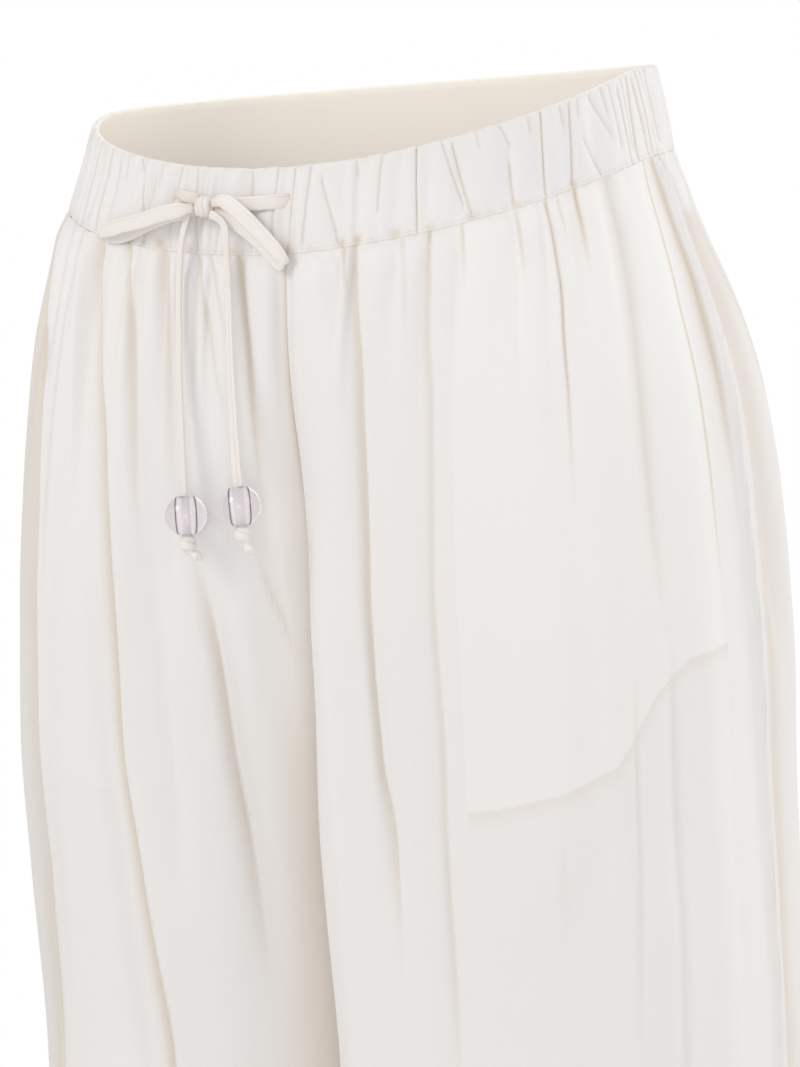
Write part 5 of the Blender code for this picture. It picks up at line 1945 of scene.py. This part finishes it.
@dataclass
class Drawstring:
    """The bow, its tails, and the beads and knots on them.

    A strap's end sinks into the cloth by exit_sink over exit_reach. A loop is
    narrower by tip_pinch within tip_reach of its tip, and by loop_pinch where
    its ends go into the knot.
    """

    satin: Material
    glass: Material
    bore_wall: Material
    thickness: float = 1.7
    route_steps: int = 10
    exit_sink: float = 3.2
    exit_reach: float = 5.0
    tip_reach: float = 6.5
    tip_pinch: float = 0.34
    loop_pinch: float = 0.38
    pinch_reach: float = 9.0
    strap_points: int = 32
    tail_points: int = 20
    knot_points: int = 32
    width_drift: Ripples = Ripples(0.07, 28.0, 3.5)
    groove_shade: float = 0.25
    edge_shade: float = 0.22
    end_shade: float = 0.45
    tail_drift: Ripples = Ripples(0.06, 32.0, 0.0)
    tail_thickness: float = 2.4
    tail_section: float = 7.8
    tail_spread: Triple = (1.0, -0.3, 0.15)
    knot_centre: Triple = (-43.8, -110.8, -58.0)
    knot_size: Triple = (8.8, 9.0, 10.8)
    bead_radius: float = 10.4
    bead_bore: float = 3.8
    rim_radius: float = 0.4
    stain_depth: float = 2.2

    def build(self) -> None:
        """Build every piece of the drawstring."""
        for tail in TAILS:
            bead = self.build_bead(tail)
            knot = self.build_end_knot(tail)
            self.build_tail(tail)
        for band in FLAT_BANDS:
            self.build_band(band)
        self.build_knot()

    def strap_rings(self, route: Array, spread: Triple, width: Array,
                    thickness: Array, count: int) -> tuple[Array, Array]:
        """Rings of a strap whose section is a flat superellipse.

        A ring's point is w/2 sgn(cos a)|cos a|^0.8 across and
        t/2 sgn(sin a)|sin a|^0.7 through the strap.

        Args:
            route: the strap's middle.
            spread: which way its width lies.
            width: the width at each point of the route.
            thickness: the thickness there.
            count: how many points a ring has.

        Returns:
            The rings, and the angle of each point of a ring.
        """
        direction = along_route(route)
        up = np.array(spread, float)
        wide = up - (direction @ up)[:, None] * direction
        wide /= np.linalg.norm(wide, axis=1, keepdims=True)
        angle = np.linspace(0, 2 * math.pi, count, endpoint=False)
        a = power(np.cos(angle), 0.8) * width[:, None] / 2
        b = power(np.sin(angle), 0.7) * thickness[:, None] / 2
        return round_rings(route, wide, np.cross(direction, wide), a, b), angle

    def build_band(self, band: Band) -> None:
        """Build one flat stretch, with painted shade in place of a fold line near its edge.

        Args:
            band: the stretch.
        """
        route = smooth_route(band.route, self.route_steps)
        length = distances(route)
        left = length[-1] - length
        if not band.free:
            route[:, 1] += self.exit_sink * bell(length, self.exit_reach)
        drift = self.width_drift
        uneven = line_noise(length / drift.pitch, seed_of(band.name))
        width = band.width * (1.0 + drift.height * uneven)
        pinch = ease(length / self.pinch_reach) * ease(left / self.pinch_reach)
        if band.free:
            tip = length[int(np.argmax(np.linalg.norm(route - route[0], axis=1)))]
            width = width * (1.0 - self.loop_pinch + self.loop_pinch * pinch)
            width = width * (1.0 - self.tip_pinch * bell(length - tip, self.tip_reach))
        thickness = self.thickness * (1.25 - 0.25 * pinch)
        rings, angle = self.strap_rings(route, band.spread, width, thickness, self.strap_points)
        across = np.cos(angle)[None, :]
        # Painted shade: a line in place of a fold, darker edges, and darker ends where the strap goes into
        # the cloth or the knot.
        ends = np.exp(-length / drift.fade) + np.exp(-left / drift.fade)
        tone = self.groove_shade * bell(across - 0.55, 0.10) + self.edge_shade * np.abs(across) ** 10
        tone = tone + self.end_shade * ends[:, None]
        strap = lofted(band.name + "_satin", rings, self.satin, length, tone)
        settle(strap, band.name)

    def build_tail(self, tail: Tail) -> None:
        """Build a tail, rolled narrow, from the knot through its bead.

        Args:
            tail: the tail.
        """
        route = smooth_route(tail.route, self.route_steps)
        length = distances(route)
        width = np.interp(length / length[-1], *zip(*tail.widths))
        uneven = line_noise(length / self.tail_drift.pitch, 3 + seed_of(tail.side))
        width = width * (1.0 + self.tail_drift.height * uneven)
        thickness = np.minimum(self.tail_thickness, self.tail_section / width)
        rings, angle = self.strap_rings(route, self.tail_spread, width, thickness, self.tail_points)
        # Painted shade: a line in place of a fold on one face, and darker edges.
        fold = bell(np.cos(angle) - 0.25, 0.16) * (np.sin(angle) > 0)
        tone = np.broadcast_to(0.35 * fold + 0.2 * np.abs(np.cos(angle)) ** 8, rings.shape[:2])
        cord = lofted("tail_" + tail.side + "_satin", rings, self.satin, length, tone)
        settle(cord, "tail_" + tail.side)

    def build_bead(self, tail: Tail) -> Object:
        """Build a round bored bead.

        Its section is an arc of the ball from bore to bore, closed by the
        bore's straight wall with rounded rims.

        Args:
            tail: the tail that it hangs on.

        Returns:
            The bead.
        """
        radius = self.bead_radius
        end = math.asin((self.bead_bore + self.rim_radius) / radius)
        arc = np.linspace(end, math.pi - end, 48)
        ball = np.stack([radius * np.sin(arc), radius * np.cos(arc)], axis=1)
        top = radius * math.cos(end)
        turn = np.linspace(0, math.pi / 2, 6)[1:]
        lower_rim = np.stack([self.bead_bore + self.rim_radius * (1 - np.sin(turn)),
                              -top + self.rim_radius * (1 - np.cos(turn))], axis=1)
        bore = np.stack([np.full(12, self.bead_bore), np.linspace(-top + 1.0, top - 1.0, 12)], axis=1)
        upper_rim = lower_rim[::-1] * np.array([1.0, -1.0])
        section = np.concatenate([ball, lower_rim, bore, upper_rim])
        angle = np.linspace(0, 2 * math.pi, 96, endpoint=False)
        out, height = section[:, :1], section[:, 1:]
        points = np.stack(np.broadcast_arrays(out * np.cos(angle), out * np.sin(angle), height), axis=-1)
        turned = np.array(Vector(tail.lean).to_track_quat("-Z", "Y").to_matrix())
        points = points @ turned.T + np.array(tail.bead)
        marks = {"rim": np.repeat(height > top - self.stain_depth, len(angle), axis=1)}
        bead = grid_object("bead_" + tail.side + "_glass", points, self.glass, marks=marks,
                           round_columns=True, round_rows=True)
        bead.data.materials.append(self.bore_wall)
        in_bore = np.arange(len(bead.data.polygons)) >= (len(ball) - 1) * len(angle)
        bead.data.polygons.foreach_set("material_index", in_bore.astype(np.int32))
        mend(bead)
        settle(bead, "bead_" + tail.side)
        return bead

    def build_end_knot(self, tail: Tail) -> Object:
        """Build the knot under a bead, with the cord's short end below it.

        Args:
            tail: the tail that it ends.

        Returns:
            The knot.
        """
        line = smooth_route(tail.end_knot, 14)
        share = np.linspace(0, 1, len(line))
        direction = along_route(line)
        first = np.cross(direction, (0.0, 1.0, 0.0))
        first /= np.linalg.norm(first, axis=1, keepdims=True)
        angle = np.linspace(0, 2 * math.pi, self.knot_points, endpoint=False)
        wrap = np.sin(angle[None, :] + share[:, None] * 9.0)
        groove = bell(wrap - 0.2, 0.22) * ease((0.62 - share) / 0.1)[:, None]
        reach = np.interp(share, *zip(*END_KNOT_SHAPE))[:, None] * (1.0 - 0.13 * groove)
        rings = round_rings(line, first, np.cross(direction, first), reach * np.cos(angle),
                            reach * np.sin(angle))
        # Painted shade in the wrapped grooves.
        knot = lofted("end_knot_" + tail.side + "_satin", rings, self.satin, share * 14.0, 0.25 * groove)
        settle(knot, "end_knot_" + tail.side)
        return knot

    def build_knot(self) -> None:
        """Build the bow's knot, a rounded lump wrapped by the strap.

        It is a superellipsoid: each coordinate goes with a power of the sine
        or cosine, and creases run down its front.
        """
        latitude = np.linspace(-math.pi / 2, math.pi / 2, 60)[:, None]
        longitude = np.linspace(0, 2 * math.pi, 96, endpoint=False)[None, :]
        x = power(np.cos(latitude), 0.7) * power(np.cos(longitude), 0.75)
        y = power(np.cos(latitude), 0.7) * power(np.sin(longitude), 0.75)
        z = power(np.sin(latitude), 0.75) * np.ones_like(longitude)
        line = x + 0.10 * np.sin(3.0 * z)
        groove = bell(line + 0.38, 0.07) + bell(line - 0.30, 0.07) + 0.6 * bell(line + 0.02, 0.05)
        points = np.stack([x, y * (1.0 - 0.10 * groove), z * (1.0 - 0.04 * groove)], axis=-1)
        points = points * (np.array(self.knot_size) / 2) * 0.99 + np.array(self.knot_centre)
        uv = np.stack(np.broadcast_arrays(longitude * 4.0, latitude * 5.0), axis=-1)
        # Painted shade in the creases down its front.
        knot = grid_object("bow_knot_satin", points, self.satin, uv, {"painted_shade": 0.7 * groove},
                           round_columns=True)
        mend(knot, merge=0.000001)
        settle(knot, "bow_knot")


def main() -> None:
    """Build the view, the drawstring, the cloth and the room."""
    logging.basicConfig(level=logging.INFO, format="%(name)s: %(message)s")
    PhotoView().build()
    weave = build_weave_group()
    stitches = build_stitch_group()
    satin = StringFinish("string_satin").build(weave)
    glass = GlassFinish("bead_glass").build()
    bore_wall = BoreFinish("bead_bore").build()
    Drawstring(satin, glass, bore_wall).build()
    cloth = CrepeFinish("trouser_crepe").build(weave, stitches)
    band_cloth = CrepeFinish("waistband_crepe", stitch_line=0.0412).build(weave, stitches)
    Trousers(cloth, band_cloth).build()
    Studio().build()


if __name__ == "__main__":
    main()
